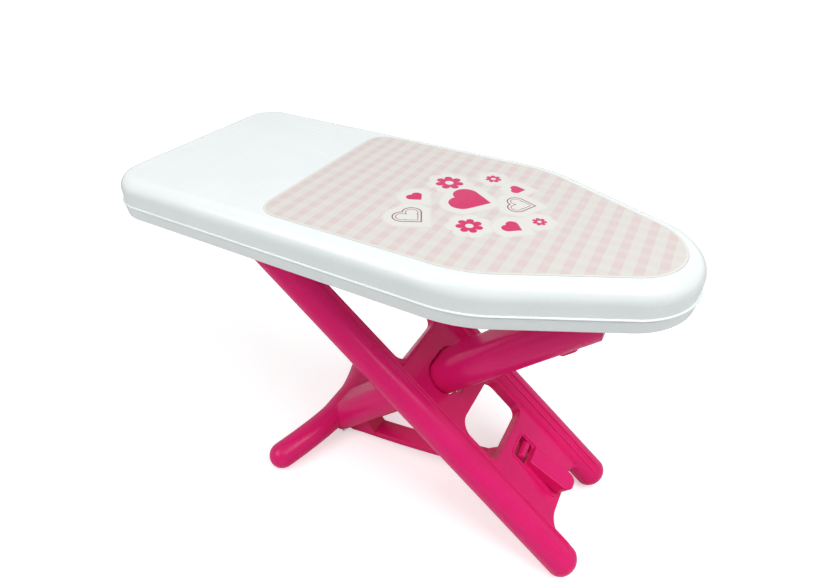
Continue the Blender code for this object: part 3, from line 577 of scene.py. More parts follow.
def spin_round(bm, centre, axis, steps):
    """Turns a profile all the way round an axis and merges what lies on the axis."""
    bmesh.ops.spin(
        bm, geom=bm.verts[:] + bm.edges[:], cent=centre, axis=axis,
        angle=2 * math.pi, steps=steps, use_merge=True,
    )
    bmesh.ops.remove_doubles(bm, verts=bm.verts, dist=1e-6)


def rail(name, side):
    """One round rail with a domed foot, lying along X."""
    axis_point = Vector((0, side * RAIL_SPREAD, 0))
    bm = bmesh.new()
    tip = bm.verts.new(axis_point - Vector((RAIL_FOOT_RADIUS, 0, 0)))
    swung = bmesh.ops.spin(
        bm, geom=[tip], cent=axis_point, axis=(0, 1, 0), angle=math.pi / 2, steps=16
    )
    bmesh.ops.scale(bm, vec=(RAIL_DOME_DEPTH / RAIL_FOOT_RADIUS, 1, 1), verts=bm.verts)
    shoulder = swung["geom_last"][0]
    inwards = RAIL_TAPER if shoulder.co.z < 0 else -RAIL_TAPER
    far = bmesh.ops.extrude_vert_indiv(bm, verts=[shoulder])["verts"]
    bmesh.ops.translate(bm, verts=far, vec=(RAIL_REACH, 0, inwards))
    spin_round(bm, axis_point, (1, 0, 0), 72)
    bmesh.ops.holes_fill(bm, edges=[edge for edge in bm.edges if edge.is_boundary], sides=0)
    return make_piece(bm, name)


# %% [markdown]
# ## Beads, grooves and lips
# Along the top of each rail, towards the web, runs a shallow groove with a thin bead beside it.
# Both follow the rail's taper, so their places are given as an angle round the rail from its
# top and a height over its surface. Both are round bars swept along the rail: the bead is
# joined on, and the groove's bar is cut away. Near the foot the bead's bar sinks into the rail
# and the groove's bar rises out of it, so both fade away. A low lip frames the slot and the
# place of the thumb tongue. It is open under the thumb end, which moves down there when it is
# pressed. Its edges are rounded before it is opened, because a bevel round an open gap in a
# thin ring overlaps itself. One more bead runs along the web's upper rim.

# %% Beads, grooves and lips
def along_rail(name, side, turn, lift, faded_lift, radius, start):
    """A round bar along one rail, whose height over the rail fades away at the foot."""
    stations = []
    ahead = Vector((1, 0, 0))
    # Each station: its place along the rail, and how much of the faded lift is left there
    for x, fade in ((start, 1), (start + 0.006, 0.4), (start + 0.014, 0), (RAIL_REACH - 0.005, 0)):
        reach = RAIL_FOOT_RADIUS - RAIL_TAPER * x / RAIL_REACH + lift + fade * faded_lift
        point = (x, side * (RAIL_SPREAD - reach * math.sin(turn)), reach * math.cos(turn))
        stations.append((Vector(point), ahead, radius))
    return swept_bar(name, stations, 20)


joined, grooves = [rail("rail_left", 1), rail("rail_right", -1)], []
for side in (1, -1):
    joined.append(along_rail("bead", side, turn=math.radians(33), lift=0.0, faded_lift=-0.0022,
                             radius=0.0012, start=-0.003))
    grooves.append(along_rail("groove", side, turn=math.radians(15), lift=0.0002,
                              faded_lift=0.0022, radius=0.0024, start=-0.004))

LIP_TOP = WEB_TOP + 0.0014
LIP_ROUND = 0.0009
SINK = 0.001
lip = prism("lip", rectangle(0.0318, 0.1006, 0.0166), [0.012, 0.006, 0.006, 0.012], 10,
            WEB_TOP - SINK, LIP_TOP)
lip_hole = prism("lip_hole", rectangle(0.0338, 0.0984, 0.0144), [0.010, 0.004, 0.004, 0.010], 10,
                 WEB_TOP - 2 * SINK, LIP_TOP + SINK)
thumb_gap = prism("thumb_gap", rectangle(0.0300, 0.0400, 0.0112), 0, 1,
                  WEB_TOP - 2 * SINK, LIP_TOP + SINK)
combine(lip, "DIFFERENCE", [lip_hole])
edit_edges(lip, level_at(LIP_TOP), LIP_ROUND, 4)
combine(lip, "DIFFERENCE", [thumb_gap])

RIM_BEAD_RADIUS = 0.0013
RIM_BEAD_END = STRIP_INNER + 0.004
rim_x = WEB_END - RIM_BEAD_RADIUS
rim_bead = rod("rim_bead", RIM_BEAD_RADIUS, (rim_x, -RIM_BEAD_END, WEB_TOP),
               (rim_x, RIM_BEAD_END, WEB_TOP), 16)
joined += [lip, rim_bead]
combine(wide_leg, "UNION", joined)
combine(wide_leg, "DIFFERENCE", grooves)
wide_leg.data.transform(LEG_PLACE)
print("rails and web:", len(wide_leg.data.polygons), "faces")

# %% [markdown]
# ## Level ends
# The rails are cut level under the board and flat where the feet stand on the floor. Keeping
# only what lies inside one big block does both cuts, and then the two pegs that hold the board
# are joined on top.

# %% Level ends and pegs
ROOM_PLAN = rectangle(-0.4, 0.4, 0.2)
PEG_ROOT = 0.003
PEG_ROUND = 0.001
peg_top = BOARD_UNDERSIDE + PEG_HEIGHT

room = prism("room", ROOM_PLAN, 0, 1, 0, BOARD_UNDERSIDE - SEAT_GAP)
combine(wide_leg, "INTERSECT", [room])
pegs = []
for side in (1, -1):
    peg = prism("peg", *peg_plan(side, 0), BOARD_UNDERSIDE - PEG_ROOT, peg_top)
    edit_edges(peg, level_at(peg_top), PEG_ROUND, 3)
    pegs.append(peg)
combine(wide_leg, "UNION", pegs)
finish_piece(wide_leg, "wide_leg", "pink_plastic", "wide_leg")

# %% [markdown]
# ## Thumb tongue
# A wedge with a rounded high end rocks on the web just below the slot. A cube would need its
# corners moved one by one, so a side view is drawn and extruded across. It is bevelled twice:
# widely at the two upright edges of its thumb end, and finely round its top. Two insets then
# leave a narrow rim and press the rest of the top down a little, so that the thumb finds a
# shallow dish. A stem with a toe goes down through the web and keeps the tongue on it.

# %% Thumb tongue
TONGUE_END = 0.0325
TONGUE_START = 0.0805
TONGUE_HALF_WIDTH = 0.0105
THUMB_ROUND = 0.0085
TONGUE_EDGE_ROUND = 0.0013
TONGUE_RIM = 0.0008
DISH_SLOPE = 0.0007
DISH_DEPTH = 0.0006
SEAT = WEB_TOP + SEAT_GAP
tongue_side = [(TONGUE_END, SEAT + 0.0028), (0.0560, SEAT), (TONGUE_START, SEAT),
               (TONGUE_START, 0.0128), (TONGUE_END, 0.0248)]


def raise_side_view(bm, corners, half_width):
    """Makes a solid across Y from a side view that is drawn in X and Z."""
    raise_outline(bm, corners, 0, 1, -half_width, half_width)
    upright = Matrix.Rotation(math.pi / 2, 3, "X")
    bmesh.ops.rotate(bm, verts=bm.verts, cent=(0, 0, 0), matrix=upright)


bm = bmesh.new()
raise_side_view(bm, tongue_side, TONGUE_HALF_WIDTH)
at_thumb = [
    edge for edge in bm.edges
    if all(abs(vert.co.x - TONGUE_END) < SEAT_GAP for vert in edge.verts)
    and abs(edge.verts[0].co.y - edge.verts[1].co.y) < SEAT_GAP
]
round_edges(bm, at_thumb, THUMB_ROUND, 12)
bm.normal_update()
top = max(bm.faces, key=lambda face: face.calc_center_median().z)
round_edges(bm, top.edges, TONGUE_EDGE_ROUND, 4)
bm.normal_update()
top = max(bm.faces, key=lambda face: face.calc_area() * face.normal.z)
for slope, depth in ((TONGUE_RIM, 0), (DISH_SLOPE, -DISH_DEPTH)):
    bmesh.ops.inset_region(bm, faces=[top], thickness=slope, depth=depth, use_even_offset=True)
tongue = make_piece(bm, "thumb_tongue")

# The stem and its toe: half width, lowest and highest point
stem_blocks = [
    prism("stem", rectangle(0.0540, 0.0580, half_width), 0.0008, 3, low, high)
    for half_width, low, high in ((0.0050, -0.0090, SEAT + 0.001), (0.0085, -0.0098, -0.0068))
]
combine(tongue, "UNION", stem_blocks)
tongue.data.transform(LEG_PLACE)
finish_piece(tongue, "tongue", "pink_plastic", "release_tongue")

# %% [markdown]
# ## Oval leg
# The single leg is an oval bar. Modelled standing along Z it is an extruded outline with a
# rounded foot end; turned into place, its head is cut upright with a bisecting plane where it
# stands against the board's pocket. A plane and a filled hole leave as clean an end as a
# Boolean would, without a second solid.

# %% Oval leg
BEAM_PLACE = Matrix.Translation(BEAM_MIDDLE) @ Matrix.Rotation(-BEAM_SLANT, 4, "Y")
STAND_UP = Matrix.Rotation(math.pi / 2, 4, "Y") @ Matrix.Rotation(math.pi / 2, 4, "Z")
BEAM_FOOT_REACH = 0.1820
BEAM_HEAD_REACH = 0.2300
BEAM_FOOT_ROUND = 0.0040

bm = bmesh.new()
oval_plan = rectangle(-BEAM_HALF_WIDTH, BEAM_HALF_WIDTH, BEAM_HALF_DEPTH)
raise_outline(bm, oval_plan, BEAM_HALF_DEPTH * NEARLY_ROUND, 20, -BEAM_FOOT_REACH, BEAM_HEAD_REACH)
round_edges(bm, corner_edges(bm, level_at(-BEAM_FOOT_REACH)), BEAM_FOOT_ROUND, 5)
bmesh.ops.transform(bm, matrix=BEAM_PLACE @ STAND_UP, verts=bm.verts)
cut = bmesh.ops.bisect_plane(
    bm, geom=bm.verts[:] + bm.edges[:] + bm.faces[:], dist=1e-6,
    plane_co=(BEAM_HEAD_X, 0, 0), plane_no=(1, 0, 0), clear_outer=True,
)["geom_cut"]
bmesh.ops.holes_fill(
    bm, edges=[part for part in cut if isinstance(part, bmesh.types.BMEdge)], sides=0
)
beam = make_piece(bm, "oval_leg")
print("oval leg:", len(beam.data.polygons), "faces")

# %% [markdown]
# ## Foot bar
# The foot bar is a round bar that sweeps back and down on both sides. A curve with a round
# bevel would make the bar, but not its domed tips. So circles are placed square to a smooth
# route, shrinking to a dome at each end, and neighbouring loops are bridged.

# %% Foot bar
BAR_RADIUS = 0.0148
BAR_MIDDLE = Vector((-0.0820, 0, 0.0240))
BAR_STRAIGHT = 0.0180
BAR_HALF_LENGTH = 0.0880
BAR_SWEEP = 0.0230
BAR_DROP = BAR_MIDDLE.z - BAR_RADIUS + 0.0010
BAR_BEND = 1.35
BAR_STEPS = 18
DOME_STEPS = 10


def bar_route():
    """Points along the bar's middle line, from one tip to the other."""
    points = []
    for step in range(-BAR_STEPS, BAR_STEPS + 1):
        share = abs(step) / BAR_STEPS
        bend = share ** BAR_BEND
        across = math.copysign(BAR_STRAIGHT + (BAR_HALF_LENGTH - BAR_STRAIGHT) * share, step)
        if step == 0:
            points.append(BAR_MIDDLE - Vector((0, BAR_STRAIGHT, 0)))
        points.append(BAR_MIDDLE + Vector((-BAR_SWEEP * bend, across, -BAR_DROP * bend)))
    return points


def heading(route, index):
    """Direction of a route at one of its points."""
    return (route[min(index + 1, len(route) - 1)] - route[max(index - 1, 0)]).normalized()


def bar_solid(name, radius):
    """The swept bar with its two domed tips."""
    route = bar_route()
    stations = []
    dome = [math.pi / 2 * (1 - step / DOME_STEPS) for step in range(1, DOME_STEPS)]
    for index, point in enumerate(route):
        ahead = heading(route, index)
        sizes = [(0.0, radius)]
        if index == 0:
            sizes = [(-radius * math.sin(a), radius * math.cos(a)) for a in dome] + sizes
        if index == len(route) - 1:
            sizes += [(radius * math.sin(a), radius * math.cos(a)) for a in dome[::-1]]
        stations += [(point + ahead * along, ahead, size) for along, size in sizes]
    return swept_bar(name, stations, 56)


FLOOR_BLOCK_DEPTH = 0.050
foot_bar = bar_solid("cross_foot", BAR_RADIUS)
floor_block = prism("floor_block", ROOM_PLAN, 0, 1, -FLOOR_BLOCK_DEPTH, 0)
combine(foot_bar, "DIFFERENCE", [floor_block])
finish_piece(foot_bar, "centre_leg", "pink_plastic", "foot_bar")

# %% [markdown]
# ## Saddle, tab and screw wells of the oval leg
# The foot bar lies in a saddle of the oval leg, so a slightly larger copy of the bar cuts it.
# The tab under the leg is a small block with rounded edges. The key way of the web lets it
# pass, and it keeps the leg from turning in its hole.

# %% Saddle, tab and wells
KEY_START = 0.1270
KEY_LENGTH = 0.0190
KEY_HALF_WIDTH = 0.0110
KEY_ROOT = 0.0036
KEY_LOW = -BEAM_HALF_DEPTH - 0.0048
KEY_CORNER = 0.0045
KEY_ROUND = 0.0032
tab = prism("tab", rectangle(KEY_START, KEY_START + KEY_LENGTH, KEY_HALF_WIDTH), KEY_CORNER, 8,
            KEY_LOW, KEY_ROOT - BEAM_HALF_DEPTH)
edit_edges(tab, level_at(KEY_LOW), KEY_ROUND, 6)
tab.data.transform(BEAM_PLACE)
combine(beam, "UNION", [tab])

bar_along = (BEAM_PLACE.inverted() @ BAR_MIDDLE).x
BAR_SCREWS = [(bar_along, side * 0.0190) for side in (1, -1)]
BAR_WELL = 0.0050


def beam_wells(places, low, high):
    """Cutters for screw wells, square to the underside of the oval leg."""
    wells = [rod("well", WELL_RADIUS, (x, y, low), (x, y, high), 32) for x, y in places]
    for well in wells:
        well.data.transform(BEAM_PLACE)
    return wells


wells = beam_wells(BAR_SCREWS, -BEAM_HALF_DEPTH - OVERRUN, BAR_WELL - BEAM_HALF_DEPTH)
combine(beam, "DIFFERENCE", [bar_solid("saddle", BAR_RADIUS + SEAT_GAP)] + wells)
finish_piece(beam, "centre_leg", "pink_plastic", "centre_beam")

# %% [markdown]
# ## Lock arm
# The lock arm is a flat strut that sags a little from the oval leg's foot to a knee, and then
# rises through the slot of the web as a barbed hook. Rounded rectangles are placed along this
# route and bridged. A sweep along a curve would do for the strut, but not for the barb, where
# the section changes.

# %% Lock arm
ARM_HALF_WIDTH = 0.0110
ARM_HALF_DEPTH = 0.0042
ARM_LOW_Z = 0.0026
ARM_SAG = 0.0030
ARM_CORNER = 0.0012
ARM_STEPS = 24
# Sections of the hook: distance past the slot's middle, half width, half depth
HOOK_SECTIONS = [(-WEB_UNDER - OVERRUN, 0.0105, 0.0022), (0.0031, 0.0105, 0.0022),
                 (0.0045, 0.0105, 0.0036), (0.0089, 0.0093, 0.0024), (0.0095, 0.0087, 0.0018)]
SLOT_MIDDLE_X = 0.08975
KNEE_BELOW_SLOT = 0.0450
ROOT_X = -0.0570
up_beam = Vector((math.cos(BEAM_SLANT), 0, math.sin(BEAM_SLANT)))
slot_middle = LEG_PLACE @ Vector((SLOT_MIDDLE_X, 0, 0))
knee = slot_middle - up_beam * KNEE_BELOW_SLOT
root = Vector((ROOT_X, 0, ARM_LOW_Z + ARM_HALF_DEPTH))


def strut_point(share):
    """A point of the sagging strut, from its root at 0 to its knee at 1."""
    return root.lerp(knee, share) - Vector((0, 0, ARM_SAG * 4 * share * (1 - share)))


def arm_stations():
    """Place, direction, half width and half depth of each section of the arm."""
    strut = [strut_point(step / ARM_STEPS) for step in range(ARM_STEPS)]
    strut += [knee, knee + up_beam * ARM_HALF_DEPTH]
    stations = [
        (point, heading(strut, index), ARM_HALF_WIDTH, ARM_HALF_DEPTH)
        for index, point in enumerate(strut)
    ]
    return stations + [(slot_middle + up_beam * up, up_beam, *sizes) for up, *sizes in HOOK_SECTIONS]


bm = bmesh.new()
loops = []
for point, ahead, half_width, half_depth in arm_stations():
    loop = draw_outline(bm, rectangle(-half_depth, half_depth, half_width), ARM_CORNER, 5)
    lift = Vector((-ahead.z, 0, ahead.x))
    turn = Matrix((lift, (0, 1, 0), -ahead)).transposed().to_4x4()
    corners = list({vert for edge in loop for vert in edge.verts})
    bmesh.ops.transform(bm, matrix=Matrix.Translation(point) @ turn, verts=corners)
    loops.append(loop)
bridge_all(bm, loops)
arm = make_piece(bm, "hooked_arm")
print("lock arm:", len(arm.data.polygons), "faces")

# %% [markdown]
# ## Root block of the lock arm
# The arm's root is a wedge that fills the corner between the strut and the underside of the
# oval leg, where two screws hold it. Its side view has only five corners, so that view is
# drawn and extruded across, and two wells for the screws are cut up into it.

# %% Root block of the lock arm
WEDGE_UPPER = -0.1460
WEDGE_LOWER = -0.1800
WEDGE_REACH = 0.0120
WEDGE_STRUT_SHARE = 0.1
under = -BEAM_HALF_DEPTH - SEAT_GAP
high = BEAM_PLACE @ Vector((WEDGE_UPPER, 0, under))
low = BEAM_PLACE @ Vector((WEDGE_LOWER, 0, under))
first_sag = strut_point(WEDGE_STRUT_SHARE).z
root_end = high.x + WEDGE_REACH
root_side = [(low.x, low.z), (low.x + ARM_HALF_DEPTH, ARM_LOW_Z), (root_end, first_sag),
             (root_end, first_sag + ARM_HALF_DEPTH), (high.x, high.z)]
ROOT_HALF_WIDTH = ARM_HALF_WIDTH + 0.0006
bm = bmesh.new()
raise_side_view(bm, root_side, ROOT_HALF_WIDTH)
root_block = make_piece(bm, "root_block")
combine(arm, "UNION", [root_block])

ARM_SCREWS = [(-0.1560, side * 0.0051) for side in (1, -1)]
ARM_SCREW_SEAT = -BEAM_HALF_DEPTH - 0.0045
ARM_WELL_LOW = -BEAM_HALF_DEPTH - 0.0450
combine(arm, "DIFFERENCE", beam_wells(ARM_SCREWS, ARM_WELL_LOW, ARM_SCREW_SEAT))
finish_piece(arm, "centre_leg", "pink_plastic", "lock_arm")

# %% [markdown]
# ## Screws
# Every screw is the same pan head with a cross recess. The head's profile is spun round the
# screw's axis, and a cross of two slim blocks is cut from it. Each copy gets its place in its
# own mesh.

# %% Screws
HEAD_RADIUS = 0.0036
HEAD_HEIGHT = 0.0022
SHANK_RADIUS = 0.0016
SLOT_REACH = 0.0019
SLOT_HALF_WIDTH = 0.00045
SLOT_START = -0.0020
SLOT_DEPTH = 0.0011
TURN_STEP = 0.7


def screw_mesh(length):
    """One pan-head screw that points up from its head at the origin."""
    bm = bmesh.new()
    start = bm.verts.new((0, 0, 0))
    rise = [(0.0022, 0), (0.0031, 0.0004), (HEAD_RADIUS, 0.0012), (HEAD_RADIUS, HEAD_HEIGHT),
            (SHANK_RADIUS, HEAD_HEIGHT), (SHANK_RADIUS, HEAD_HEIGHT + length - SHANK_RADIUS),
            (0, HEAD_HEIGHT + length)]
    last = start
    for across, up in rise:
        after = bmesh.ops.extrude_vert_indiv(bm, verts=[last])["verts"][0]
        after.co = (across, 0, up)
        last = after
    spin_round(bm, (0, 0, 0), (0, 0, 1), 24)
    screw = make_piece(bm, "screw")
    slots = [
        prism("slot", rectangle(-SLOT_REACH, SLOT_REACH, SLOT_HALF_WIDTH), 0, 1,
              SLOT_START, SLOT_DEPTH, Matrix.Rotation(turned, 4, "Z"))
        for turned in (0, math.pi / 2)
    ]
    combine(screw, "DIFFERENCE", slots)
    mesh = screw.data
    bpy.data.objects.remove(screw)
    return mesh


def drive_screws(node, body, places, roof, length, place=Matrix()):
    """Puts one screw at each place, under the roof of its well, each turned a little further."""
    mesh = screw_mesh(length)
    screws = []
    for number, (x, y) in enumerate(places, start=1):
        own = mesh.copy()
        own.transform(place @ Matrix.Translation((x, y, roof - SEAT_GAP - HEAD_HEIGHT))
                      @ Matrix.Rotation(number * TURN_STEP, 4, "Z"))
        screws.append(add_object(f"cross_{node}_{number}", own))
        finish_piece(screws[-1], body, "zinc_steel", f"{node}_{number}")
    return screws


screws = drive_screws("board_screw", "board", BOARD_SCREWS, WELL_ROOF, length=0.0130)
screws += drive_screws("foot_bar_screw", "centre_leg", BAR_SCREWS, BAR_WELL - BEAM_HALF_DEPTH,
                       length=0.0160, place=BEAM_PLACE)
screws += drive_screws("lock_arm_screw", "centre_leg", ARM_SCREWS, ARM_SCREW_SEAT,
                       length=0.0120, place=BEAM_PLACE)

# %% [markdown]
# ## Writing materials in short
# A material is a net of nodes. A few helpers keep each one readable: maths takes an operation
# and its values, and plus, minus, times, least and most are its common cases. feed links a
# socket or sets a number, and blend mixes two colours by a mask. They work on a material's own
# tree and on the tree of a shader group alike.

# %% Node helpers
class Bench:
    """Short names for building one node tree."""

    def __init__(self, tree):
        self.tree = tree

    def add(self, kind, **settings):
        made = self.tree.nodes.new(kind)
        for name, value in settings.items():
            setattr(made, name, value)
        return made

    def feed(self, socket, value):
        if isinstance(value, bpy.types.NodeSocket):
            self.tree.links.new(value, socket)
        else:
            socket.default_value = value

    def feed_all(self, node, **values):
        for name, value in values.items():
            self.feed(node.inputs[name.replace("_", " ")], value)
        return node.outputs

    def maths(self, operation, *values, clamp=False):
        made = self.add("ShaderNodeMath", operation=operation, use_clamp=clamp)
        for socket, value in zip(made.inputs, values):
            self.feed(socket, value)
        return made.outputs[0]

    plus = partialmethod(maths, "ADD")
    minus = partialmethod(maths, "SUBTRACT")
    times = partialmethod(maths, "MULTIPLY")
    least = partialmethod(maths, "MINIMUM")
    most = partialmethod(maths, "MAXIMUM")

    def blend(self, mask, first, second):
        made = self.add("ShaderNodeMix", data_type="RGBA")
        self.feed(made.inputs[0], mask)
        self.feed(made.inputs[6], first)
        self.feed(made.inputs[7], second)
        return made.outputs[2]

    def soft_step(self, value, low, high, start=0.0, end=1.0):
        made = self.add("ShaderNodeMapRange", interpolation_type="SMOOTHSTEP")
        return self.feed_all(
            made, Value=value, From_Min=low, From_Max=high, To_Min=start, To_Max=end
        )[0]

    def noise(self, place, scale, detail=2.0):
        made = self.add("ShaderNodeTexNoise")
        return self.feed_all(made, Vector=place, Scale=scale, Detail=detail, Roughness=0.5)[0]

    def stretched(self, place, scale, turn=(0.0, 0.0, 0.0)):
        made = self.add("ShaderNodeMapping")
        return self.feed_all(made, Vector=place, Scale=scale, Rotation=turn)[0]

    def split(self, place):
        return self.feed_all(self.add("ShaderNodeSeparateXYZ"), Vector=place)

    def bumped(self, height, strength, distance):
        made = self.add("ShaderNodeBump")
        return self.feed_all(made, Height=height, Strength=strength, Distance=distance)[0]


def new_group(name, inputs, outputs):
    """A shader group with named sockets, and a bench to build it on."""
    tree = bpy.data.node_groups.new(name, "ShaderNodeTree")
    for kind, sockets in (("INPUT", inputs), ("OUTPUT", outputs)):
        for socket_name, socket_type in sockets:
            tree.interface.new_socket(socket_name, in_out=kind, socket_type=socket_type)
    bench = Bench(tree)
    return tree, bench, bench.add("NodeGroupInput").outputs, bench.add("NodeGroupOutput").inputs


def use_group(bench, tree, **values):
    """Places a group in a material and feeds its inputs."""
    return bench.feed_all(bench.add("ShaderNodeGroup", node_tree=tree), **values)


def new_material(name):
    """A material with its bench, its shader and the place on the object."""
    material = bpy.data.materials.new(name)
    material.use_nodes = True
    bench = Bench(material.node_tree)
    place = bench.add("ShaderNodeTexCoord").outputs["Object"]
    return material, bench, material.node_tree.nodes["Principled BSDF"], place


def dress(material, *pieces):
    """Gives pieces one material."""
    for piece in pieces:
        piece.data.materials.clear()
        piece.data.materials.append(material)
    print(f"{material.name}:", ", ".join(piece.name for piece in pieces))


FLOAT, VECTOR = "NodeSocketFloat", "NodeSocketVector"

# %% [markdown]
# ## How moulded plastic varies
# Glossy mouldings aren't perfectly even: the melt leaves faint clouds of tone, the polished
# mould leaves a very fine orange peel, and handling leaves short thin scuffs where the gloss is
# a little duller. All three come from noise at their own scale, in one group that both
# plastics use with their own values.

# %% Group for moulded plastic
CLOUD_SCALE = 22.0
PATCH_SCALE = 34.0
SPECK_SCALE = 420.0
PEEL_SCALE = 760.0
# The two sets of scuffs: the direction they run in, and the scale of their stretched noise
SCUFF_SETS = ((0.35, (900.0, 60.0, 300.0)), (-0.9, (60.0, 820.0, 260.0)))
moulding, bench, given, wanted = new_group(
    "moulded plastic",
    [("Place", VECTOR), ("Scuff Amount", FLOAT)],
    [("Tone", FLOAT), ("Dullness", FLOAT), ("Height", FLOAT)],
)
clouds = bench.noise(given["Place"], CLOUD_SCALE, 3.0)
specks = bench.noise(given["Place"], SPECK_SCALE)
tone = bench.maths("MULTIPLY_ADD", specks, 0.35, bench.times(clouds, 0.65))
bench.feed(wanted["Tone"], bench.soft_step(tone, 0.34, 0.66))

scuffs = 0.0
for turn, scale in SCUFF_SETS:
    thin = bench.noise(bench.stretched(given["Place"], scale, (0.2, 0.1, turn)), 1.0, 1.0)
    scuffs = bench.most(bench.soft_step(thin, 0.66, 0.74), scuffs)
patches = bench.soft_step(bench.noise(given["Place"], PATCH_SCALE), 0.50, 0.68)
scuffs = bench.times(bench.times(scuffs, patches), given["Scuff Amount"])
bench.feed(wanted["Dullness"], bench.maths("MULTIPLY_ADD", clouds, 0.25, scuffs, clamp=True))

peel = bench.noise(given["Place"], PEEL_SCALE)
bench.feed(wanted["Height"], bench.maths("MULTIPLY_ADD", scuffs, -0.5, peel))
print("group:", moulding.name)

# %% [markdown]
# ## The two plastics
# Both plastics are one Principled shader with gloss. The white one is a cool bright white; the
# pink one is a deep hot pink, slightly richer where the melt clouds are dense. Near the floor
# both legs are a touch duller, where the feet rub.

# %% White and pink plastic
WHITE_TONES = (0.795, 0.852, 0.852, 1), (0.825, 0.868, 0.868, 1)
PINK_TONES = (0.775, 0.010, 0.158, 1), (0.835, 0.014, 0.180, 1)
PLASTIC_IOR = 1.49
GLOSS_ROUGHNESS = 0.20
DULLED_BY = 0.22
RUB_HEIGHT = 0.016
RUB_SCALE = 160.0
PEEL_DEPTH = 0.0002


def plastic(name, first, second, scuffs, peel, specular):
    """A glossy moulded plastic between two close tones."""
    material, bench, shader, place = new_material(name)
    skin = use_group(bench, moulding, Place=place, Scuff_Amount=scuffs)
    near_floor = bench.soft_step(bench.split(place)["Z"], RUB_HEIGHT, 0.0, 0.0, 0.5)
    rubs = bench.soft_step(bench.noise(place, RUB_SCALE, 3.0), 0.42, 0.6)
    rubbed = bench.times(near_floor, rubs)
    dull = bench.most(skin["Dullness"], rubbed)
    bench.feed_all(
        shader, Base_Color=bench.blend(skin["Tone"], first, second),
        Roughness=bench.maths("MULTIPLY_ADD", dull, DULLED_BY, GLOSS_ROUGHNESS),
        Normal=bench.bumped(skin["Height"], peel, PEEL_DEPTH),
        IOR=PLASTIC_IOR, Specular_IOR_Level=specular,
    )
    return material


white_plastic = plastic("glossy white plastic", *WHITE_TONES, scuffs=0.3, peel=0.10, specular=0.5)
pink_plastic = plastic("hot pink plastic", *PINK_TONES, scuffs=0.2, peel=0.08, specular=0.20)
dress(white_plastic, upper_shell, lower_shell)
dress(pink_plastic, wide_leg, tongue, beam, foot_bar, arm)

# %% [markdown]
# ## Gingham
# Gingham is a traditional check: one set of bands in each direction, darkest where two bands
# cross. A checker texture has only two tones, and gingham has four. So each set of bands is the
# distance to the nearest band's middle line, turned into a soft mask of its own. The bands
# across the board are pink, the ones along it are almost cream.

# %% Group for gingham
CHECK = 0.0143
BAND_BLUR = 0.0003
FRAY = 0.0012
FRAY_SCALE = 900.0
gingham, bench, given, wanted = new_group(
    "gingham", [("Place", VECTOR)], [("Across", FLOAT), ("Along", FLOAT)]
)
parts = bench.split(given["Place"])
threads = bench.noise(given["Place"], FRAY_SCALE, 1.0)
frayed = bench.maths("MULTIPLY_ADD", threads, FRAY, -FRAY / 2)
# Each set of bands: its output, the axis it repeats along, the middle of one band, half its width
for name, axis, middle, half in (("Across", "X", 0.1394, 0.0033), ("Along", "Y", 0.0088, 0.0040)):
    shifted = bench.plus(bench.minus(parts[axis], middle), CHECK / 2)
    inside = bench.minus(bench.maths("FLOORED_MODULO", shifted, CHECK), CHECK / 2)
    away = bench.plus(bench.maths("ABSOLUTE", inside), frayed)
    bench.feed(wanted[name], bench.soft_step(away, half - BAND_BLUR, half + BAND_BLUR, 1.0, 0.0))
print("group:", gingham.name)

# %% [markdown]
# ## Hearts and daisies
# Printed shapes stay crisp at any zoom when each is a distance: negative inside, zero on its
# edge, positive outside. A heart is two circles on a square that stands on its corner. A daisy
# is a circle whose radius swells and dips with the angle; a power under one makes the petals
# full and the dips between them narrow. One group gives each distance, and its inputs place,
# turn and size it.

# %% Groups for hearts and daisies
def placed_inside(bench, given):
    """Turns a place on the board into a print's own across and up, in units of its size."""
    parts = bench.split(given["Place"])
    x, y = bench.minus(parts["X"], given["Centre X"]), bench.minus(parts["Y"], given["Centre Y"])
    cosine, sine = bench.maths("COSINE", given["Turn"]), bench.maths("SINE", given["Turn"])
    across = bench.plus(bench.times(x, cosine), bench.times(y, sine))
    up = bench.minus(bench.times(y, cosine), bench.times(x, sine))
    return [bench.maths("DIVIDE", value, given["Size"]) for value in (across, up)]


def length_of(bench, across, up):
    """Distance from a print's centre."""
    return bench.maths("SQRT", bench.plus(bench.times(across, across), bench.times(up, up)))


PRINT_INPUTS = [("Place", VECTOR)]
PRINT_INPUTS += [(name, FLOAT) for name in ("Centre X", "Centre Y", "Turn", "Size")]
HALF_ROOT_TWO = math.sqrt(0.5)
heart, bench, given, wanted = new_group("heart", PRINT_INPUTS, [("Distance", FLOAT)])
across, up = placed_inside(bench, given)
half = bench.maths("ABSOLUTE", across)
from_lobe = length_of(bench, bench.minus(half, 0.5), bench.minus(up, 0.5))
lobe = bench.minus(from_lobe, HALF_ROOT_TWO)
sides = bench.plus(half, bench.maths("ABSOLUTE", up))
square = bench.times(bench.minus(sides, 1.0), HALF_ROOT_TWO)
bench.feed(wanted["Distance"], bench.times(bench.least(lobe, square), given["Size"]))

PETALS = 7
PETAL_REACH = 0.48
PETAL_FULLNESS = 0.45
EYE_RADIUS = 0.30
daisy, bench, given, wanted = new_group(
    "daisy", PRINT_INPUTS, [("Distance", FLOAT), ("Eye", FLOAT)]
)
across, up = placed_inside(bench, given)
away = length_of(bench, across, up)
wave = bench.maths("COSINE", bench.times(bench.maths("ARCTAN2", up, across), PETALS / 2))
swell = bench.maths("POWER", bench.maths("ABSOLUTE", wave), PETAL_FULLNESS)
petals = bench.maths("MULTIPLY_ADD", swell, PETAL_REACH, 1 - PETAL_REACH)
bench.feed(wanted["Distance"], bench.times(bench.minus(away, petals), given["Size"]))
bench.feed(wanted["Eye"], bench.times(bench.minus(away, EYE_RADIUS), given["Size"]))
print("groups:", heart.name, "and", daisy.name)

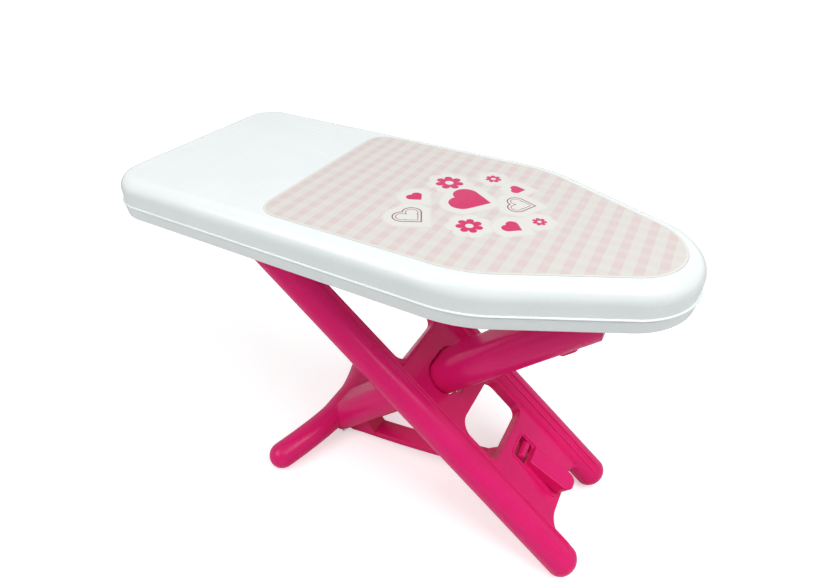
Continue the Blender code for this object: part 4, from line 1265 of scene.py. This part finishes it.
# %% [markdown]
# ## Layout of the print
# The print is a loose cluster in the middle of the sheet. Filled shapes are hot pink, the
# others are thin brown outlines. The gingham fades out round every shape, as it does on
# printed sheets where shapes would be hard to read on checks. Each shape is listed by its
# place along and across the board, its turn and its size.

# %% Printed sheet material
FILLED_HEARTS = [(0.060, 0.006, 1.75, 0.0150), (0.018, -0.012, 1.20, 0.0060),
                 (0.086, 0.043, 2.00, 0.0056), (0.104, -0.020, 1.45, 0.0068)]
OUTLINED_HEARTS = [(0.030, -0.043, 1.25, 0.0105), (0.098, 0.018, 1.95, 0.0100)]
DAISIES = [(0.030, 0.026, 0.30, 0.0120), (0.074, -0.034, 0.10, 0.0105),
           (0.060, 0.052, 0.22, 0.0070), (0.118, -0.002, 0.40, 0.0058)]

LINE_HALF_WIDTH = 0.0005
INNER_LINE_DEPTH = 0.0026
INNER_LINE_HALF_WIDTH = 0.0003
sheet_print, bench, shader, place = new_material("printed gingham film")


def nearest_of(group, shapes, output="Distance"):
    """Distance to the nearest of several prints."""
    nearest = 1.0
    for x, y, turn, size in shapes:
        made = use_group(bench, group, Place=place, Centre_X=x, Centre_Y=y, Turn=turn, Size=size)
        nearest = bench.least(made[output], nearest)
    return nearest


filled_hearts = nearest_of(heart, FILLED_HEARTS)
outlined_hearts = nearest_of(heart, OUTLINED_HEARTS)
filled = bench.least(filled_hearts, nearest_of(daisy, DAISIES))
eyes = nearest_of(daisy, DAISIES, "Eye")
ink_shapes = bench.most(filled, bench.times(eyes, -1.0))
hollow = bench.minus(bench.maths("ABSOLUTE", outlined_hearts), LINE_HALF_WIDTH)
deeper = bench.maths("ABSOLUTE", bench.plus(outlined_hearts, INNER_LINE_DEPTH))
inner = bench.minus(deeper, INNER_LINE_HALF_WIDTH)
any_shape = bench.least(filled, outlined_hearts)
print("printed shapes:", len(FILLED_HEARTS) + len(OUTLINED_HEARTS) + len(DAISIES))

# %% [markdown]
# ## Colour and finish of the sheet
# The colours are laid on in the order a printer would use: cream film, pink bands, darker
# checks, the pale surround of the shapes, and the ink last. The film itself is satin, with a
# very fine grain.

# %% Colours of the printed sheet
CREAM = (0.689, 0.680, 0.636, 1)
BAND_PINK = (0.684, 0.612, 0.590, 1)
PALE_BAND = (0.694, 0.655, 0.620, 1)
CHECK_PINK = (0.679, 0.570, 0.556, 1)
SURROUND = (0.745, 0.740, 0.705, 1)
HOT_PINK_INK = (0.610, 0.020, 0.122, 1)
BROWN_INK = (0.240, 0.050, 0.095, 1)
WORN = (0.62, 0.58, 0.56, 1)
INK_BLUR = 0.0002
SURROUND_FADES = (0.0095, 0.0055)
BORDER_FADES = (0.02, 0.16)
WORN_SHARE = 0.05
FILM_ROUGHNESS = 0.34
FILM_DULLED_BY = 0.20
GRAIN_SCALE = 2400.0
GRAIN_STRENGTH = 0.15
GRAIN_DEPTH = 0.0001

bands = use_group(bench, gingham, Place=place)
plain_row = bench.blend(bands["Across"], CREAM, BAND_PINK)
band_row = bench.blend(bands["Across"], PALE_BAND, CHECK_PINK)
checks = bench.blend(bands["Along"], plain_row, band_row)
ground = bench.blend(bench.soft_step(any_shape, *SURROUND_FADES), checks, SURROUND)
border = bench.add("ShaderNodeAttribute", attribute_name="plain_border").outputs["Fac"]
ground = bench.blend(bench.soft_step(border, *BORDER_FADES), ground, SURROUND)
inked = bench.blend(bench.soft_step(ink_shapes, INK_BLUR, -INK_BLUR), ground, HOT_PINK_INK)
lines = bench.least(hollow, inner)
colour = bench.blend(bench.soft_step(lines, INK_BLUR, -INK_BLUR), inked, BROWN_INK)

skin = use_group(bench, moulding, Place=place, Scuff_Amount=0.6)
bench.feed_all(
    shader, Base_Color=bench.blend(bench.times(skin["Tone"], WORN_SHARE), colour, WORN),
    Roughness=bench.maths("MULTIPLY_ADD", skin["Dullness"], FILM_DULLED_BY, FILM_ROUGHNESS),
    Normal=bench.bumped(bench.noise(place, GRAIN_SCALE, 1.0), GRAIN_STRENGTH, GRAIN_DEPTH),
    Specular_IOR_Level=0.2,
)
dress(sheet_print, cover)

# %% [markdown]
# ## Zinc plated steel
# The screws are bright zinc: metal with a faint blue and yellow clouding, and tool marks that
# make it rougher in places. Noise that is squeezed along one axis looks like such marks, and
# needs no picture.

# %% Steel of the screws
BLUE_ZINC = (0.58, 0.60, 0.64, 1)
YELLOW_ZINC = (0.70, 0.68, 0.60, 1)
FILM_SCALE = 700.0
MARK_SCALE = (3000.0, 500.0, 500.0)
MARK_DEPTH = 0.00005
ZINC_ROUGHNESS = 0.18
ZINC_ROUGHER_BY = 0.30
zinc, bench, shader, place = new_material("zinc plated steel")
film = bench.soft_step(bench.noise(place, FILM_SCALE, 3.0), 0.35, 0.65)
marks = bench.noise(bench.stretched(place, MARK_SCALE), 1.0)
bench.feed_all(
    shader, Base_Color=bench.blend(film, BLUE_ZINC, YELLOW_ZINC), Metallic=1.0,
    Roughness=bench.maths("MULTIPLY_ADD", marks, ZINC_ROUGHER_BY, ZINC_ROUGHNESS),
    Normal=bench.bumped(marks, 0.2, MARK_DEPTH),
)
dress(zinc, *screws)

# %% [markdown]
# ## Floor and surroundings
# The board stands on a plain white floor in a white studio. The camera and mirror-like
# reflections see the world at full white, while the light that it sheds on the object is
# weaker, so colours come out about as they are written. The floor is a plain matt white that
# the camera sees a little brighter, more so further out where the lamps no longer reach, and it
# keeps the soft shadow under the object.

# %% Floor and world
FLOOR_SIZE = 6.0
GLOW_REACHES = (0.35, 1.60)
GLOW_LEVELS = (0.52, 0.86)
WORLD_LEVEL = 0.20
FIBRE_SCALE = 300.0
PAPER_TONES = (0.84, 0.84, 0.84, 1), (0.86, 0.86, 0.86, 1)

bm = bmesh.new()
bmesh.ops.create_grid(bm, x_segments=2, y_segments=2, size=FLOOR_SIZE)
floor = make_piece(bm, "studio_floor", Matrix.Translation((0, 0, -SEAT_GAP)))
paper, bench, shader, place = new_material("white paper floor")
seen = bench.add("ShaderNodeLightPath").outputs["Is Camera Ray"]
fibres = bench.soft_step(bench.noise(place, FIBRE_SCALE), 0.3, 0.7)
reach = bench.feed_all(bench.add("ShaderNodeVectorMath", operation="LENGTH"), Vector=place)["Value"]
paleness = bench.soft_step(reach, *GLOW_REACHES, *GLOW_LEVELS)
bench.feed_all(
    shader, Base_Color=bench.blend(fibres, *PAPER_TONES),
    Roughness=0.9, Specular_IOR_Level=0.1, Emission_Color=(1, 1, 1, 1),
    Emission_Strength=bench.times(seen, paleness),
)
dress(paper, floor)

world = bpy.data.worlds.new("studio")
bpy.context.scene.world = world
world.use_nodes = True
bench = Bench(world.node_tree)
rays = bench.add("ShaderNodeLightPath").outputs
mirrored = bench.most(rays["Is Glossy Ray"], rays["Is Transmission Ray"])
direct = bench.most(rays["Is Camera Ray"], mirrored)
strength = bench.maths("MULTIPLY_ADD", direct, 1.0 - WORLD_LEVEL, WORLD_LEVEL)
bench.feed_all(world.node_tree.nodes["Background"], Color=(1, 1, 1, 1), Strength=strength)
print("world level for light:", WORLD_LEVEL)

# %% [markdown]
# ## Lamps
# Two big soft lamps stand high on the right and on the left in front, as two softboxes would.
# They reach under the board and draw the highlights along the rails and round the nose. A weak
# one overhead fills the shadows between them.

# %% Lamps
def soft_lamp(name, place, aim, size, power):
    """A square area lamp that looks at a point."""
    lamp = bpy.data.lights.new(name, "AREA")
    lamp.size = size
    lamp.energy = power
    holder = add_object(name, lamp)
    holder.location = place
    holder.rotation_euler = (Vector(aim) - Vector(place)).to_track_quat("-Z", "Y").to_euler()
    print("lamp", name, "of", power, "W")


soft_lamp("right", (0.90, -0.20, 1.40), (0.05, 0, 0.15), 0.9, 13.0)
soft_lamp("front_left", (-0.60, -0.95, 1.20), (0.05, 0, 0.15), 0.9, 8.6)
soft_lamp("overhead", (0.05, 0.05, 1.60), (0, 0, 0.20), 1.4, 5.0)

# %% [markdown]
# ## Camera
# The camera stands where the photographer stood: to the right of the board's middle, above
# it, looking down and to the left. Its place and angles were found by lining up the board's
# outline and the rails with the photograph.

# %% Camera
FOCAL_PIXELS = 556.87
PHOTO_WIDTH = 826
PHOTO_HEIGHT = 578
PHOTO_CENTRE = (409.82, 287.98)
CAMERA_PLACE = (0.20284, -0.37711, 0.53887)
yaw, pitch, roll = (math.radians(angle) for angle in (27.40, 35.94, -1.06))
level = Vector((math.cos(yaw), math.sin(yaw), 0))
ahead = Vector((-level.y * math.cos(pitch), level.x * math.cos(pitch), -math.sin(pitch)))
down = ahead.cross(level)
right = level * math.cos(roll) + down * math.sin(roll)
lower = down * math.cos(roll) - level * math.sin(roll)

camera_data = bpy.data.cameras.new("photo camera")
camera_data.sensor_width = 36.0
camera_data.lens = FOCAL_PIXELS / PHOTO_WIDTH * camera_data.sensor_width
camera_data.shift_x = (PHOTO_WIDTH / 2 - PHOTO_CENTRE[0]) / PHOTO_WIDTH
camera_data.shift_y = (PHOTO_CENTRE[1] - PHOTO_HEIGHT / 2) / PHOTO_WIDTH
camera_data.clip_start = 0.01
camera = add_object("photo camera", camera_data)
camera.matrix_world = (
    Matrix.Translation(CAMERA_PLACE)
    @ Matrix((right, -lower, -ahead)).transposed().to_4x4()
)
bpy.context.scene.camera = camera
bpy.context.scene.view_settings.view_transform = "Standard"
print("camera at", tuple(round(part, 3) for part in camera.matrix_world.translation))
